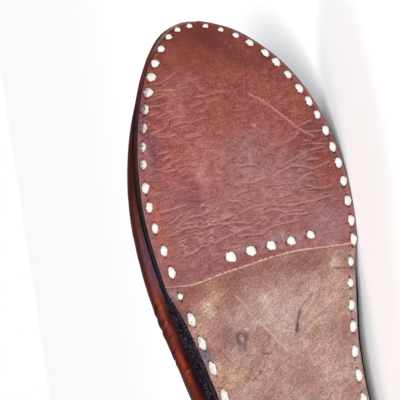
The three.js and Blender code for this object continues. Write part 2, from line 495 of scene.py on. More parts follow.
@dataclass(frozen=True)
class RearTread:
    """Pale suede-like sole leather with golden, grey and mauve patches, cuts and scuffs."""

    edge: BlackEdge
    tan: Colour = tint(191, 153, 143)
    rust: Colour = tint(167, 121, 109)
    dark: Colour = tint(84, 56, 62)
    gold: Colour = tint(198, 157, 126)
    pale: Colour = tint(230, 204, 184)
    grey: Colour = tint(196, 172, 160)
    mauve: Colour = tint(172, 121, 117)
    # red-brown of stains and of the painted shade behind the seam
    red: Colour = tint(130, 70, 56)
    pore: Colour = tint(112, 58, 42)
    cut: Colour = tint(60, 30, 34)
    rim: Colour = tint(112, 112, 138)
    # near-black of the painted shade in the stitch holes
    hole: Colour = tint(28, 14, 13)

    def material(self) -> Material:
        """Makes the finish.

        Returns:
            The material.
        """
        shader = Shader.of("rear_tread_leather")
        place = shader.place()
        cloud = shader.noise(place, 12.0, 5.0, 0.6)
        patch = shader.noise(shader.vector("ADD", place, (70, 30, 0)), 5.0, 4.0, 0.62)
        speckle = shader.noise(place, 0.78, 1.5, 0.6)
        slant = shader.drawn_out(shader.bent(place, 7.0, 2.0), (3.2, 1, 1), 63.0)
        nap = shader.noise(slant, 1.0, 2.5, 0.6)
        band = shader.noise(slant, 3.4, 2.0, 0.55)
        golden = shader.painted(Paint.GOLD)
        pores = (1 - shader.rise(shader.noise(place, 0.75, 1.0), 0.28, 0.41)) * (0.25 + golden)

        colour = shader.mix(shader.rise(cloud, 0.33, 0.67), self.rust, self.tan)
        stains = (
            (Paint.ORANGE, self.red, 0.75),
            (Paint.PURPLE, self.mauve, 0.75),
            (Paint.GREY, self.grey, 0.75),
            (Paint.GOLD, self.gold, 0.8),
            (Paint.DARK, self.dark, 0.85),
            (Paint.PALE, self.pale, 0.8),
            (Paint.RIM, self.rim, 0.85),
        )
        colour = shader.stained(colour, stains, patch)
        for tone, contrast in ((patch, 0.76), (band, 0.5), (nap, 0.96), (speckle, 1.92)):
            colour = shader.shaded(colour, 1 - contrast / 2 + contrast * tone)
        colour = shader.mix(pores * 0.7, colour, self.pore)
        # HOLE is the painted shade in the stitch holes
        marks = (
            (Paint.LINE, self.pale, 0.75),
            (Paint.CUT, self.cut, 0.85),
            (Paint.HOLE, self.hole, 1.0),
        )
        colour = shader.stained(colour, marks)
        height = speckle * 0.35 + nap * 0.3 + shader.painted(Paint.LINE) * 0.3
        height = height - pores * 0.3 - shader.painted(Paint.CUT) * 0.6
        colour, height = self.edge.laid_over(shader, colour, height)
        return shader.leather(
            {
                "Base Color": colour,
                "Roughness": 0.66 + 0.2 * speckle + 0.3 * shader.painted(Paint.EDGE),
                "Specular IOR Level": 0.14,
                "Normal": shader.bump(height, 0.4),
            }
        )


@dataclass(frozen=True)
class UpperLeather:
    """Polished red-brown upper, oxblood at the toe and rougher along its foot, with a painted lilac
    sheen there, painted shade and a plain lining.
    """

    sienna: Colour = tint(150, 56, 30)
    red: Colour = tint(112, 34, 22)
    oxblood: Colour = tint(64, 8, 7)
    # lilac of the painted sheen along the foot, also mixed into the lining
    foot: Colour = tint(108, 76, 86)
    # near-black of the painted shade in the creases
    crease: Colour = tint(20, 3, 2)
    # near-black of a band low on the rear wall
    dark_band: Colour = tint(26, 13, 20)
    lining: Colour = tint(178, 132, 96)

    def material(self) -> Material:
        """Makes the finish.

        Returns:
            The material.
        """
        shader = Shader.of("upper_leather")
        place = shader.place()
        cloud = shader.noise(place, 24.0, 4.0, 0.6)
        grain = shader.noise(place, 0.75, 3.0, 0.6)
        pebble = shader.node("ShaderNodeTexVoronoi", {}, {"Vector": place, "Scale": 0.9})
        inside = shader.painted(Paint.LINING)
        crease = shader.painted(Paint.CREASE)
        painted_sheen = shader.painted(Paint.GREY)

        toe = shader.rise(shader.axis("X") + 30 * cloud, 172, 250)
        colour = shader.mix(shader.rise(cloud, 0.38, 0.62), self.sienna, self.red)
        colour = shader.mix(toe * 0.93, colour, self.oxblood)
        # painted shade: oxblood where the wall turns away from the light and low at its foot
        shaded = shader.painted(Paint.DARK)
        colour = shader.mix(shaded * 0.9, colour, self.oxblood)
        # painted sheen: a lilac highlight low on the wall
        colour = shader.mix(painted_sheen * (0.4 + 0.5 * grain), colour, self.foot)
        # painted shade in the creases
        colour = shader.mix(crease * 0.95, colour, self.crease)
        # a near-black band low on the rear wall
        colour = shader.mix(shader.painted(Paint.EDGE) * 0.85, colour, self.dark_band)
        blotch = shader.noise(place, 3.2, 3.0, 0.6)
        colour = shader.shaded(colour, 0.25 + 1.5 * grain)
        colour = shader.shaded(colour, 0.45 + 1.1 * blotch)
        colour = shader.mix(inside, colour, shader.mix(cloud, self.lining, self.foot))
        height = pebble * 0.5 + grain * 0.4 + painted_sheen * grain * 0.6
        return shader.leather(
            {
                "Base Color": colour,
                "Roughness": 0.34 + 0.16 * grain + 0.22 * painted_sheen + 0.3 * inside,
                "Specular IOR Level": 0.03,
                "Coat Weight": (1 - inside) * (1 - shaded) * (1 - 0.98 * toe) * (0.06 + 0.16 * grain),
                "Coat Roughness": 0.3,
                "Normal": shader.bump(height, 0.09),
            }
        )


@dataclass(frozen=True)
class PlainLeather:
    """One plain leather: a dyed or natural strip or sheet with grain and worn places."""

    name: str
    body: Colour
    worn: Colour
    roughness: float
    shine: float
    coat: float
    grain_size: float

    def material(self) -> Material:
        """Makes the finish.

        Returns:
            The material.
        """
        shader = Shader.of(self.name)
        place = shader.place()
        cloud = shader.noise(place, 14.0, 4.0, 0.6)
        grain = shader.noise(place, self.grain_size, 3.0, 0.65)
        wear = shader.rise(cloud * 0.6 + grain * 0.4, 0.46, 0.66)
        colour = shader.mix(wear, self.body, self.worn)
        colour = shader.mix(shader.painted(Paint.DARK) * 0.7, colour, self.body)
        return shader.leather(
            {
                "Base Color": colour,
                "Roughness": self.roughness + 0.15 * grain,
                "Specular IOR Level": self.shine,
                "Coat Weight": self.coat,
                "Coat Roughness": 0.3,
                "Normal": shader.bump(grain, 0.14),
            }
        )


BINDING_LEATHER = PlainLeather(
    name="binding_leather",
    body=tint(18, 10, 10),
    worn=tint(48, 34, 34),
    roughness=0.46,
    shine=0.12,
    coat=0.05,
    grain_size=0.6,
)
FOOTBED_LEATHER = PlainLeather(
    name="footbed_leather",
    body=tint(166, 112, 72),
    worn=tint(206, 158, 112),
    roughness=0.6,
    shine=0.2,
    coat=0.0,
    grain_size=0.9,
)


@dataclass(frozen=True)
class CordFinish:
    """Flattened white cotton cord, greyed where it has been soiled."""

    cotton: Colour = tint(255, 254, 250)
    shade: Colour = tint(224, 214, 200)
    cream: Colour = tint(238, 212, 200)
    soil: Colour = tint(88, 70, 70)

    def material(self) -> Material:
        """Makes the finish.

        Returns:
            The material.
        """
        shader = Shader.of("sewing_cord")
        fluff = shader.noise(shader.place(), 0.35, 3.0, 0.7)
        colour = shader.mix(1 - shader.rise(fluff, 0.3, 0.5), self.cotton, self.shade)
        blotch = shader.noise(shader.place(), 0.9, 2.0, 0.6)
        soil = shader.painted(Paint.SOIL)
        colour = shader.mix(soil, colour, self.cream)
        soiled = shader.rise(soil + 1.6 * blotch, 1.05, 1.7)
        colour = shader.mix(soiled * 0.9, colour, self.soil)
        return shader.leather(
            {
                "Base Color": colour,
                "Roughness": 0.85,
                "Sheen Weight": 0.2,
                "Normal": shader.bump(fluff, 0.12),
            }
        )


class Grain:
    """Smooth random values over a plane, the same on every run."""

    CELLS = 64

    def __init__(self, seed: int) -> None:
        """Draws the table of random values."""
        self.table = np.random.default_rng(seed).random((self.CELLS, self.CELLS))

    def at(self, along: Array, across: Array, size: float) -> Array:
        """Reads the values.

        Args:
            along: First coordinate.
            across: Second coordinate.
            size: Size of the lumps.

        Returns:
            Values from -1 to 1.
        """
        first, second = np.asarray(along, float) / size, np.asarray(across, float) / size
        row, column = np.floor(first).astype(int), np.floor(second).astype(int)
        s, t = ease(first - row, 0, 1), ease(second - column, 0, 1)

        def corner(down: int, right: int) -> Array:
            """Random value at one corner of each place's cell."""
            return self.table[(row + down) % self.CELLS, (column + right) % self.CELLS]

        near = corner(0, 0) * (1 - s) + corner(1, 0) * s
        far = corner(0, 1) * (1 - s) + corner(1, 1) * s
        return 2 * (near * (1 - t) + far * t) - 1


@dataclass(frozen=True)
class Ring:
    """Places round the sole's outline: heel end first, then up the +Y side and back."""

    x: Array
    y: Array
    out_x: Array
    out_y: Array
    share: Array
    side: Array
    from_toe: Array

    @property
    def count(self) -> int:
        """How many places there are."""
        return len(self.x)

    def pick(self, places: Array) -> "Ring":
        """The ring's places with those numbers."""
        return Ring(*(getattr(self, name)[places] for name in self.__dataclass_fields__))


@dataclass(frozen=True)
class Last:
    """The shoe's driving sizes and the curves worked out from them, as in the solids."""

    length: float = 300.0
    ball_width: float = 103.0
    waist_width: float = 75.0
    heel_width: float = 72.0
    toe_length: float = 91.0
    toe_lean: float = 5.0
    toe_lean_growth: float = 6.0
    waist_at: float = 80.0
    heel_length: float = 37.0
    toe_spring: float = 15.0
    toe_spring_from: float = 212.0
    arch_rise: float = 2.0
    arch_from: float = 74.0
    arch_to: float = 168.0
    waist_ease: float = 0.45
    toe_ease: float = 0.5
    seam_at: float = 177.0
    half_sole: float = 2.0
    outsole: float = 3.0
    midsole: float = 4.2
    insole: float = 2.4
    wall: float = 2.2
    gap: float = 0.3
    ledge: float = 2.4
    insole_clearance: float = 0.8
    rest_roll: float = 4.595
    rest_pitch: float = -5.33
    solid_steps: int = 40
    bevel_rows: tuple[Point, ...] = (
        (0, 3), (60, 3.6), (110, 4.8), (160, 4.9), (179, 1), (250, 0.8), (300, 0.8),
    )

    @property
    def stack(self) -> float:
        """Depth of the whole sole at its edge."""
        return self.half_sole + self.outsole + self.midsole + 2 * self.gap

    @cached_property
    def half_line(self) -> Pair:
        """Half of the outline before the toe leans.

        Returns:
            Points of a fine line, and the length along it to each.
        """
        ball = (self.length - self.toe_length, self.ball_width / 2)
        waist = (self.waist_at, self.waist_width / 2)
        heel = (self.heel_length, self.heel_width / 2)
        t = np.linspace(0, 1, 400)[:, None]

        def level(start: Point, end: Point) -> Array:
            """A curve that runs level at both of its ends."""
            reach = (end[0] - start[0]) * self.waist_ease
            return cubic(t, start, (start[0] + reach, start[1]), (end[0] - reach, end[1]), end)

        angle = math.pi - t[:, 0] * math.pi / 2
        back = np.c_[heel[0] + self.heel_length * np.cos(angle), heel[1] * np.sin(angle)]
        tip = (self.length, 0.0)
        ahead = (ball[0] + self.toe_length * self.toe_ease, ball[1])
        toe = cubic(t, ball, ahead, (tip[0], ball[1] * self.toe_ease), tip)
        line = np.concatenate([back[:-1], level(heel, waist)[:-1], level(waist, ball)[:-1], toe])
        steps = np.linalg.norm(np.diff(line, axis=0), axis=1)
        return line, np.concatenate([[0], np.cumsum(steps)])

    def ring(self, shares: Array) -> Ring:
        """The outline with places at given shares of the way from heel to toe on each side.

        Args:
            shares: Shares from 0 to 1, rising.

        Returns:
            The closed ring.
        """
        line, lengths = self.half_line
        at = np.asarray(shares) * lengths[-1]
        x, y = np.interp(at, lengths, line[:, 0]), np.interp(at, lengths, line[:, 1])
        back = slice(-2, 0, -1)
        ring_x = np.concatenate([x, x[back]])
        ring_y = np.concatenate([y, -y[back]]) - self.lean(ring_x)
        share = np.concatenate([shares, np.asarray(shares)[back]])
        side = np.concatenate([np.ones(len(x)), -np.ones(len(x) - 2)])
        before, after = (np.c_[np.roll(ring_x, k), np.roll(ring_y, k)] for k in (1, -1))
        out = np.c_[before[:, 1] - after[:, 1], after[:, 0] - before[:, 0]]
        out /= np.linalg.norm(out, axis=1)[:, None]
        walk = np.hypot(np.diff(ring_x, append=ring_x[0]), np.diff(ring_y, append=ring_y[0]))
        tip = len(x) - 1
        from_toe = np.concatenate([np.cumsum(walk[:tip][::-1])[::-1], [0], np.cumsum(walk[tip:-1])])
        return Ring(ring_x, ring_y, out[:, 0], out[:, 1], share, side, from_toe)

    def even_ring(self, steps: int) -> Ring:
        """The outline with evenly spaced places."""
        return self.ring(np.linspace(0, 1, steps + 1))

    def lean(self, x: Array) -> Array:
        """How far the toe leans to the inner side at a place along the sole."""
        beyond = np.clip((x - self.length + self.toe_length) / self.toe_length, 0, 1)
        return self.toe_lean * beyond**self.toe_lean_growth

    def underside(self, x: Array) -> Array:
        """Underside of the outsole: flat heel, low arch, flat ball and toe spring.

        Args:
            x: Places along the sole.

        Returns:
            Height above the ground.
        """
        along = ease(x, self.arch_from, self.arch_to)
        spring = np.clip((x - self.toe_spring_from) / (self.length - self.toe_spring_from), 0, None)
        arch = self.arch_rise * np.sin(np.pi * along) ** 2
        return (self.half_sole + self.gap) * along + arch + self.toe_spring * spring**2

    def sole_top(self, x: Array) -> Array:
        """Top of the midsole above the ground."""
        return self.underside(x) + self.outsole + self.gap + self.midsole

    def column(
        self,
        rows: Sequence[Sequence[float]],
        number: int,
        place: Array,
        parity: int = 1,
    ) -> Array:
        """A smooth curve through one column of a table, as the solids have it.

        Args:
            rows: The table, with its places in the first column.
            number: Which column.
            place: Where to work it out.
            parity: 1 to mirror the column at its ends, -1 to turn it over there.

        Returns:
            The curve's values.
        """
        table = np.array(rows, float)
        keys, values = table[:, 0], table[:, number]
        keys = np.concatenate([[2 * keys[0] - keys[1]], keys, [2 * keys[-1] - keys[-2]]])
        values = np.concatenate([[parity * values[1]], values, [parity * values[-2]]])
        k = np.clip(np.searchsorted(table[:, 0], place), 1, len(table) - 1)
        step = keys[k + 1] - keys[k]
        t = np.clip((place - keys[k]) / step, 0, 1)
        rise = values[k + 1] - values[k]
        start = (values[k + 1] - values[k - 1]) / (keys[k + 1] - keys[k - 1]) * step - rise
        end = rise - (values[k + 2] - values[k]) / (keys[k + 2] - keys[k]) * step
        return values[k] + rise * t + t * (1 - t) * (start * (1 - t) + end * t)

    def edge(self, ring: Ring, depth: Array, inset: Array = 0.0) -> Array:
        """Points on the sole's bevelled edge.

        Args:
            ring: Places on the outline.
            depth: How far below the midsole's top.
            inset: How much further in than the edge.

        Returns:
            The points.
        """
        inward = self.column(self.bevel_rows, 1, ring.x) * depth / self.stack + inset
        height = self.sole_top(ring.x) - depth
        return np.c_[ring.x - ring.out_x * inward, ring.y - ring.out_y * inward, height]

    @cached_property
    def turn(self) -> Array:
        """The turns that lay the shoe on its side.

        Returns:
            A matrix of three rows.
        """
        roll = Matrix.Rotation(math.radians(self.rest_roll - 90), 3, "X")
        pitch = Matrix.Rotation(math.radians(self.rest_pitch), 3, "Y")
        return np.array(pitch @ roll)

    @cached_property
    def move(self) -> Array:
        """The move that follows those turns, found from the midsole's solid.

        Returns:
            The move in metres.
        """
        ring = self.even_ring(self.solid_steps)
        points = np.concatenate([self.edge(ring, 0.0), self.edge(ring, self.midsole)])
        lowest = (points @ self.turn.T).min(axis=0) * METRES
        return np.array(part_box("midsole")[0]) - lowest

    def lay(self, points: Array) -> Array:
        """Brings points from the shoe's frame into the part's frame, in metres."""
        return points @ self.turn.T * METRES + self.move


class Skin:
    """Points, faces and painted masks of one piece as it is made."""

    def __init__(self, last: Last) -> None:
        """Starts an empty skin.

        Args:
            last: The last, which lays the points into the part's frame.
        """
        self.last = last
        self.points: list[Array] = []
        self.faces: list[list[int]] = []
        self.masks: list[Masks] = []
        self.count = 0

    def add(self, points: Array, masks: Optional[Masks] = None) -> Array:
        """Adds points.

        Args:
            points: Their places in the shoe's frame, in an array of any shape whose last axis is XYZ.
            masks: Painted values, one for each point or one for all.

        Returns:
            The points' numbers, in the same shape.
        """
        shape = points.shape[:-1]
        numbers = np.arange(self.count, self.count + math.prod(shape))
        self.points.append(points.reshape(-1, 3))
        painted = (masks or {}).items()
        self.masks.append({paint: np.broadcast_to(mask, shape).ravel() for paint, mask in painted})
        self.count += len(numbers)
        return numbers.reshape(shape)

    def quads(self, grid: Array, closed: bool = False) -> None:
        """Joins a grid of point numbers with faces; where numbers repeat, with triangles.

        Args:
            grid: The numbers.
            closed: Whether the last column joins the first.
        """
        if closed:
            grid = np.concatenate([grid, grid[:, :1]], axis=1)
        corners = np.stack([grid[:-1, :-1], grid[1:, :-1], grid[1:, 1:], grid[:-1, 1:]], axis=-1)
        for face in corners.reshape(-1, 4).tolist():
            kept = list(dict.fromkeys(face))
            if len(kept) > 2:
                self.faces.append(kept)

    def piece(self, name: str, material: Material) -> Piece:
        """Makes the mesh object.

        Args:
            name: Its name.
            material: Its finish.

        Returns:
            The object, in the part's frame.
        """
        points = np.concatenate(self.points)
        mesh = bpy.data.meshes.new(name)
        mesh.from_pydata(self.last.lay(points).tolist(), [], self.faces)
        shaped = bmesh.new()
        shaped.from_mesh(mesh)
        bmesh.ops.recalc_face_normals(shaped, faces=shaped.faces)
        shaped.to_mesh(mesh)
        shaped.free()
        mesh.shade_smooth()
        shoe = mesh.attributes.new("shoe", "FLOAT_VECTOR", "POINT")
        shoe.data.foreach_set("vector", points.astype(np.float32).ravel())
        for paint in Paint:
            if any(paint in masks for masks in self.masks):
                parts = [m.get(paint, np.zeros(len(p))) for m, p in zip(self.masks, self.points)]
                layer = mesh.attributes.new(paint.value, "FLOAT", "POINT")
                layer.data.foreach_set("value", np.clip(np.concatenate(parts), 0, 1).astype(np.float32))
        mesh.materials.append(material)
        made = bpy.data.objects.new(name, mesh)
        bpy.context.scene.collection.objects.link(made)
        return made


def seat(piece: Piece, node: Optional[str] = None) -> Piece:
    """Ties a piece to the shoe's one body and hides the solid it stands for.

    Args:
        piece: The piece.
        node: The solid, if it stands for one.

    Returns:
        The piece.
    """
    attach(piece, "root")
    if node:
        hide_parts(node)
    LOG.info("%s: %d faces", piece.name, len(piece.data.polygons))
    return piece


@dataclass(frozen=True)
class Spot:
    """A soft-edged patch on the tread: middle, reach along and across, and strength."""

    paint: Paint
    at: Point
    reach: Point
    strength: float

    def mask(self, x: Array, y: Array) -> Array:
        """How strongly it covers each place."""
        far = ((x - self.at[0]) / self.reach[0]) ** 2 + ((y - self.at[1]) / self.reach[1]) ** 2
        return self.strength * np.exp(-(far**1.5))


@dataclass(frozen=True)
class Stroke:
    """A line on the tread through a few points, such as a crease, a scratch or a cut."""

    paint: Paint
    points: tuple[Point, ...]
    width: float
    strength: float = 1.0

    def mask(self, x: Array, y: Array) -> Array:
        """How strongly it covers each place.

        Args:
            x: Places along the sole.
            y: Places across it.

        Returns:
            The share of 0 to 1.
        """
        place = np.stack([x, y], axis=-1)
        best = np.full(x.shape, np.inf)
        for start, end in zip(self.points[:-1], self.points[1:]):
            first, way = np.array(start, float), np.subtract(end, start).astype(float)
            share = np.clip(((place - first) @ way) / (way @ way), 0, 1)
            best = np.minimum(best, np.linalg.norm(place - first - share[..., None] * way, axis=-1))
        return self.strength * np.exp(-((best / self.width) ** 2))


Mark = Union[Spot, Stroke]


def spots(paint: Paint, *rows: tuple[float, ...]) -> list[Spot]:
    """Patches of one paint, each row the middle, the reach along and across, and the strength."""
    return [Spot(paint, row[:2], row[2:4], row[4]) for row in rows]


def strokes(paint: Paint, *rows: tuple[Union[float, Point], ...]) -> list[Stroke]:
    """Lines of one paint, each row the width, the strength and the points."""
    return [Stroke(paint, tuple(points), width, strength) for width, strength, *points in rows]


# Stains, cuts and the long scratch of the front sheet.
FRONT_MARKS: tuple[Mark, ...] = (
    *spots(
        Paint.DARK,
        (291, 6, 13, 20, 0.25), (197, -37, 7, 6, 0.2), (210, 30, 6, 6, 0.2), (268, 30, 12, 8, 0.4),
        (261, -41, 11, 4, 0.7), (252, 10, 9, 8, 0.2), (180, -4, 4, 9, 0.35), (256, -43, 9, 4, 0.6),
        (263, -36, 10, 6, 0.4), (216, -26, 4.5, 5, 0.4), (180, 8, 3, 8, 0.3), (221, 39, 22, 13, 0.75),
        (227, 41, 11, 8, 0.6), (208, 35, 9, 11, 0.35), (182, -22, 5, 18, 0.3), (180, -44, 7, 5, 0.35),
    ),
    *spots(
        Paint.PALE,
        (290, -24, 4, 4, 0.25), (203, 8, 6, 6, 0.2), (268, -20, 7, 10, 0.2), (211, 4, 10, 18, 0.25),
        (230, -17, 14, 9, 0.3), (204, 28, 7, 7, 0.35), (263, -23, 6, 6, 0.3), (257, -23, 4, 4, 0.3),
        (226, -19, 5, 2.5, 0.6), (209, -20, 2, 3, 0.5), (242, 12, 0.8, 0.8, 1.0),
    ),
    *spots(
        Paint.ORANGE,
        (197, -37, 7, 6, 0.15), (193, -44, 7, 4, 0.5), (208, -45, 12, 3.5, 0.65),
        (231, -34, 9, 6, 0.5), (252, -30, 14, 12, 0.2), (215, 41, 14, 7, 0.45),
    ),
    *spots(
        Paint.PURPLE,
        (240, -38, 16, 4.5, 0.8), (259, -40, 13, 4, 0.7), (218, -28, 7, 9, 0.45), (192, 39, 7, 7, 0.4),
    ),
    *spots(
        Paint.GREY,
        (228, 6, 13, 14, 0.4), (216, 26, 9, 12, 0.35), (188, 37, 10, 8, 0.62),
        (187, -9, 2.6, 3.5, 0.7), (186, 1, 2.6, 3, 0.7), (187, 10, 3.5, 5, 0.9),
        (239, -43, 8, 2.5, 0.4), (185, 20, 3, 3, 0.6),
    ),
    *strokes(Paint.DARK, (5.0, 0.7, (292, 0), (273, 18))),
    *strokes(Paint.LINE, (0.42, 0.75, (257, 14), (246, 25), (235, 34), (230, 40))),
    *strokes(
        Paint.CUT,
        (0.55, 0.9, (250, -42), (251, -35)), (0.5, 0.7, (242, -41), (243, -38)),
        (0.4, 0.6, (239, -40), (239, -37)), (0.5, 0.85, (235, -43), (235, -38)),
        (0.4, 0.5, (241, -32), (240, -27)), (0.8, 0.8, (261, -42), (260, -35)),
    ),
)

# The plainest creases of the front sheet, each run across the sole.
FRONT_CREASES: tuple[tuple[Point, ...], ...] = (
    ((271, -28), (275, -18)), ((265, -34), (265, -28), (266, -23)), ((268, -30), (267, -20)),
    ((261, -34), (261, -31)), ((257, -35), (258, -31)), ((255, -32), (257, -28)),
    ((253, -28), (254, -24), (254, -21)), ((249, -35), (250, -31), (252, -28)),
    ((250, -27), (251, -22), (251, -17), (251, -10)), ((254, -10), (256, -7)), ((262, -12), (261, 2)),
    ((247, -35), (245, -30), (246, -27)), ((239, -37), (239, -32)), ((236, -35), (237, -32)),
    ((231, -36), (230, -31)), ((225, 1), (224, 6)), ((231, 26), (234, 33)), ((237, 34), (238, 40)),
    ((233, 37), (233, 47)), ((221, 29), (222, 33)), ((220, 33), (220, 39)), ((224, 36), (224, 44)),
    ((216, 14), (218, 20), (219, 25), (216, 35), (217, 44)), ((211, 25), (214, 34)),
    ((217, -1), (216, 3), (217, 9)), ((211, -9), (209, -5)), ((207, -40), (208, -36), (209, -34)),
    ((212, -43), (213, -31)), ((207, -31), (207, -26), (208, -21)),
    ((204, -37), (202, -32), (202, -28)), ((201, -41), (202, -36), (203, -32)),
    ((201, -27), (201, -22), (201, -19)), ((198, -37), (199, -33)), ((199, -30), (198, -26)),
    ((201, -17), (200, -9), (198, -3)), ((204, -6), (204, -1), (205, 9)),
    ((202, 3), (204, 9), (201, 18)), ((200, 4), (201, 10), (198, 16), (197, 25)),
    ((200, 19), (201, 40)), ((194, -24), (193, -21), (194, -16), (195, -10), (196, -2)),
    ((196, -12), (196, -6), (196, -2)), ((193, -9), (192, 0), (192, 5)),
    ((191, -37), (191, -32), (193, -27)), ((193, 4), (193, 22)), ((212.7, -7), (212.5, 0)),
    ((206.6, 14), (206.3, 21)), ((221, 22), (222.4, 29)), ((227, 38), (225.5, 44)),
    ((208.6, 30), (206.7, 34), (205.2, 40), (205.7, 42)), ((210.5, 30), (211, 34)),
    ((196.7, 17), (195, 26)),
)

# Where the front sheet bends and wrinkles most.
FRONT_BENDS: list[Spot] = spots(
    Paint.WRINKLE,
    (252, -26, 22, 20, 0.5), (225, -30, 16, 18, 0.5), (199, -22, 14, 26, 1.0),
    (203, 18, 14, 26, 0.9), (221, 37, 18, 14, 0.55), (240, 10, 24, 24, 0.3),
)

# The dark ring of a knot in the rear sheet.
KNOT: tuple[Point, ...] = (
    (148.6, -19.8), (147.6, -17.6), (145.4, -17.2), (143.4, -18.6), (143.8, -20.4), (146.6, -21.2),
    (148.6, -19.8),
)

# Patches, cuts and scratches of the rear sheet.
REAR_MARKS: tuple[Mark, ...] = (
    *spots(
        Paint.ORANGE,
        (173, -36, 5, 9, 1.0), (142, -27, 5, 5, 0.35), (176, -2, 3.4, 8, 0.7), (164, -21, 6, 6, 0.5),
        (167, 12, 5, 5, 0.35), (153, -24, 5, 5, 0.3), (167, -43, 8, 5, 0.9), (172, -14, 6, 12, 0.6),
        (175, 22, 5, 16, 0.95), (167, -22, 6, 8, 0.5), (145, -38, 5, 4, 0.5), (154, -29, 7, 6, 0.3),
        (168, -38, 6, 5, 0.5), (176, -22, 4, 8, 0.7), (174, 8, 4, 6, 0.5), (164, 44, 5, 4, 0.45),
        (58, -6, 22, 20, 0.5),
    ),
    *spots(
        Paint.PURPLE,
        (161, -9, 6, 5, 0.6), (151, -31, 10, 6, 0.95), (127, 17, 14, 14, 0.3), (141, -28, 8, 8, 0.6),
        (148, 13, 6, 5, 0.45), (140, -8, 8, 8, 0.35), (40, 14, 16, 14, 0.5),
    ),
    *spots(
        Paint.GREY,
        (142, 12, 4, 4, 0.4), (121, 25, 7, 7, 0.4), (118, 28, 10, 9, 0.5), (153, 41, 8, 4, 0.35),
        (145, 26, 6, 6, 0.45), (156, -16, 6, 6, 0.55), (135, -21, 6, 5, 0.45), (152, 3, 10, 10, 0.8),
        (163, 24, 5, 5, 0.4), (170, 45, 3, 3, 0.5), (128, 1, 6, 6, 0.4), (155, -11, 6, 5, 0.4),
        (159, 16, 5, 5, 0.4), (154, 34, 6, 6, 0.5), (96, -4, 20, 22, 0.5),
    ),
    *spots(
        Paint.PALE,
        (160, -3, 4, 3, 0.5), (136, 10, 3.5, 3, 0.35), (163, -31, 4, 3, 0.65), (169, 35, 2.4, 3, 0.7),
        (145.8, -19, 2.0, 1.0, 0.5), (149.8, -16, 1.0, 0.8, 0.7),
    ),
    *spots(
        Paint.DARK,
        (145, -39, 5.5, 3.5, 0.6), (148, 12.5, 4, 3, 0.2), (146.4, -20, 6.5, 5.5, 0.5),
        (168, 47, 5, 2, 0.9), (150, 44, 9, 1.5, 0.6), (16, -2, 14, 22, 0.5),
    ),
    *spots(
        Paint.GOLD,
        (156, -37, 6, 3, 0.6), (141, 18, 5, 4, 0.5), (153, 36, 9, 6, 0.4), (130, -29, 6, 9, 0.6),
        (84, 16, 18, 12, 0.5),
    ),
    *spots(Paint.RIM, (133, -42, 12, 5.5, 1.0)),
    *strokes(
        Paint.GOLD,
        (4.0, 0.8, (170, -27), (166, -30), (158, -35)), (5.0, 0.4, (166, 38), (158, 24), (150, 20)),
    ),
    *strokes(Paint.DARK, (0.85, 0.8, *KNOT)),
    *strokes(
        Paint.CUT,
        (0.9, 1.0, (142.6, 8.2), (145.4, 9.6)), (0.6, 0.8, (145.4, 9.6), (151, 12)),
        (0.5, 0.4, (151, 12), (154, 14.5), (158, 20.5)), (0.5, 0.6, (125, -19), (128, -14)),
        (0.7, 0.3, (128, -14), (137, -5)), (0.4, 0.7, (136, -10), (135, -7)),
        (0.45, 0.8, (167, 34), (165, 40)), (0.45, 0.25, (143.4, 12.8), (149.2, 22.8)),
        (0.45, 0.22, (144, 16.4), (150.4, 27.6)), (0.5, 0.5, (102, 14), (90, 10)),
    ),
    *strokes(
        Paint.LINE,
        (0.5, 0.5, (149.5, 13.4), (156.5, 21)), (0.5, 0.4, (144.6, 12), (149.7, 22)),
        (0.5, 0.45, (141.2, 13.2), (145.7, 20.4)), (0.5, 0.35, (145.4, 16), (151.7, 27.4)),
        (0.5, 0.3, (147.2, 20.2), (152.7, 29.3)), (0.6, 0.2, (159.5, -24), (161.2, -14), (161, -6)),
        (0.35, 0.55, (166, -17), (159, -13)), (0.4, 0.35, (159, -13), (152, -9)),
        (0.4, 0.7, (152, -9), (140, -2)), (0.4, 0.4, (140, -2), (134, 2)),
        (0.45, 0.6, (70, -12), (52, 3), (44, 6)),
    ),
)


@dataclass(frozen=True)
class SewnLine:
    """How the stitches lie along one side of the tread, by their distance from the toe tip."""

    side: int
    first: float
    toe_pitch: float
    pitch: float
    slacker_from: float
    slackening: float
    widest: float
    inset: float
    strayed: float = 0.0
    strayed_at: float = 130.0
    fuller: float = 0.0

    def places(self, end: float, jitter: Callable[[], float]) -> list[float]:
        """Where the stitches are.

        Args:
            end: Where the line ends.
            jitter: Draws small random shares about 0.

        Returns:
            Distances from the toe tip.
        """
        found: list[float] = []
        at = self.first
        while at < end:
            found.append(at + 0.6 * jitter())
            near = float(ease(at, 12, 26))
            slack = self.slackening * max(0.0, at - self.slacker_from)
            at += min(self.toe_pitch + (self.pitch - self.toe_pitch) * near + slack, self.widest)
        return found

    def inset_at(self, at: float) -> float:
        """How far the line lies in from the tread's edge."""
        return self.inset + self.strayed * float(hump(at, self.strayed_at, 24))


@dataclass(frozen=True)
class Stitch:
    """One stitch: its middle on the tread, its direction, size and soil, and how full its ends are."""

    HOLE_BEYOND = 0.5

    x: float
    y: float
    way: Point
    length: float
    width: float
    soil: float
    fullness: float

    def ends(self) -> tuple[Point, Point]:
        """Works out where it goes through the leather.

        Returns:
            The two holes.
        """
        reach = self.length / 2 + self.HOLE_BEYOND
        ahead = (self.x + self.way[0] * reach, self.y + self.way[1] * reach)
        return ahead, (self.x - self.way[0] * reach, self.y - self.way[1] * reach)


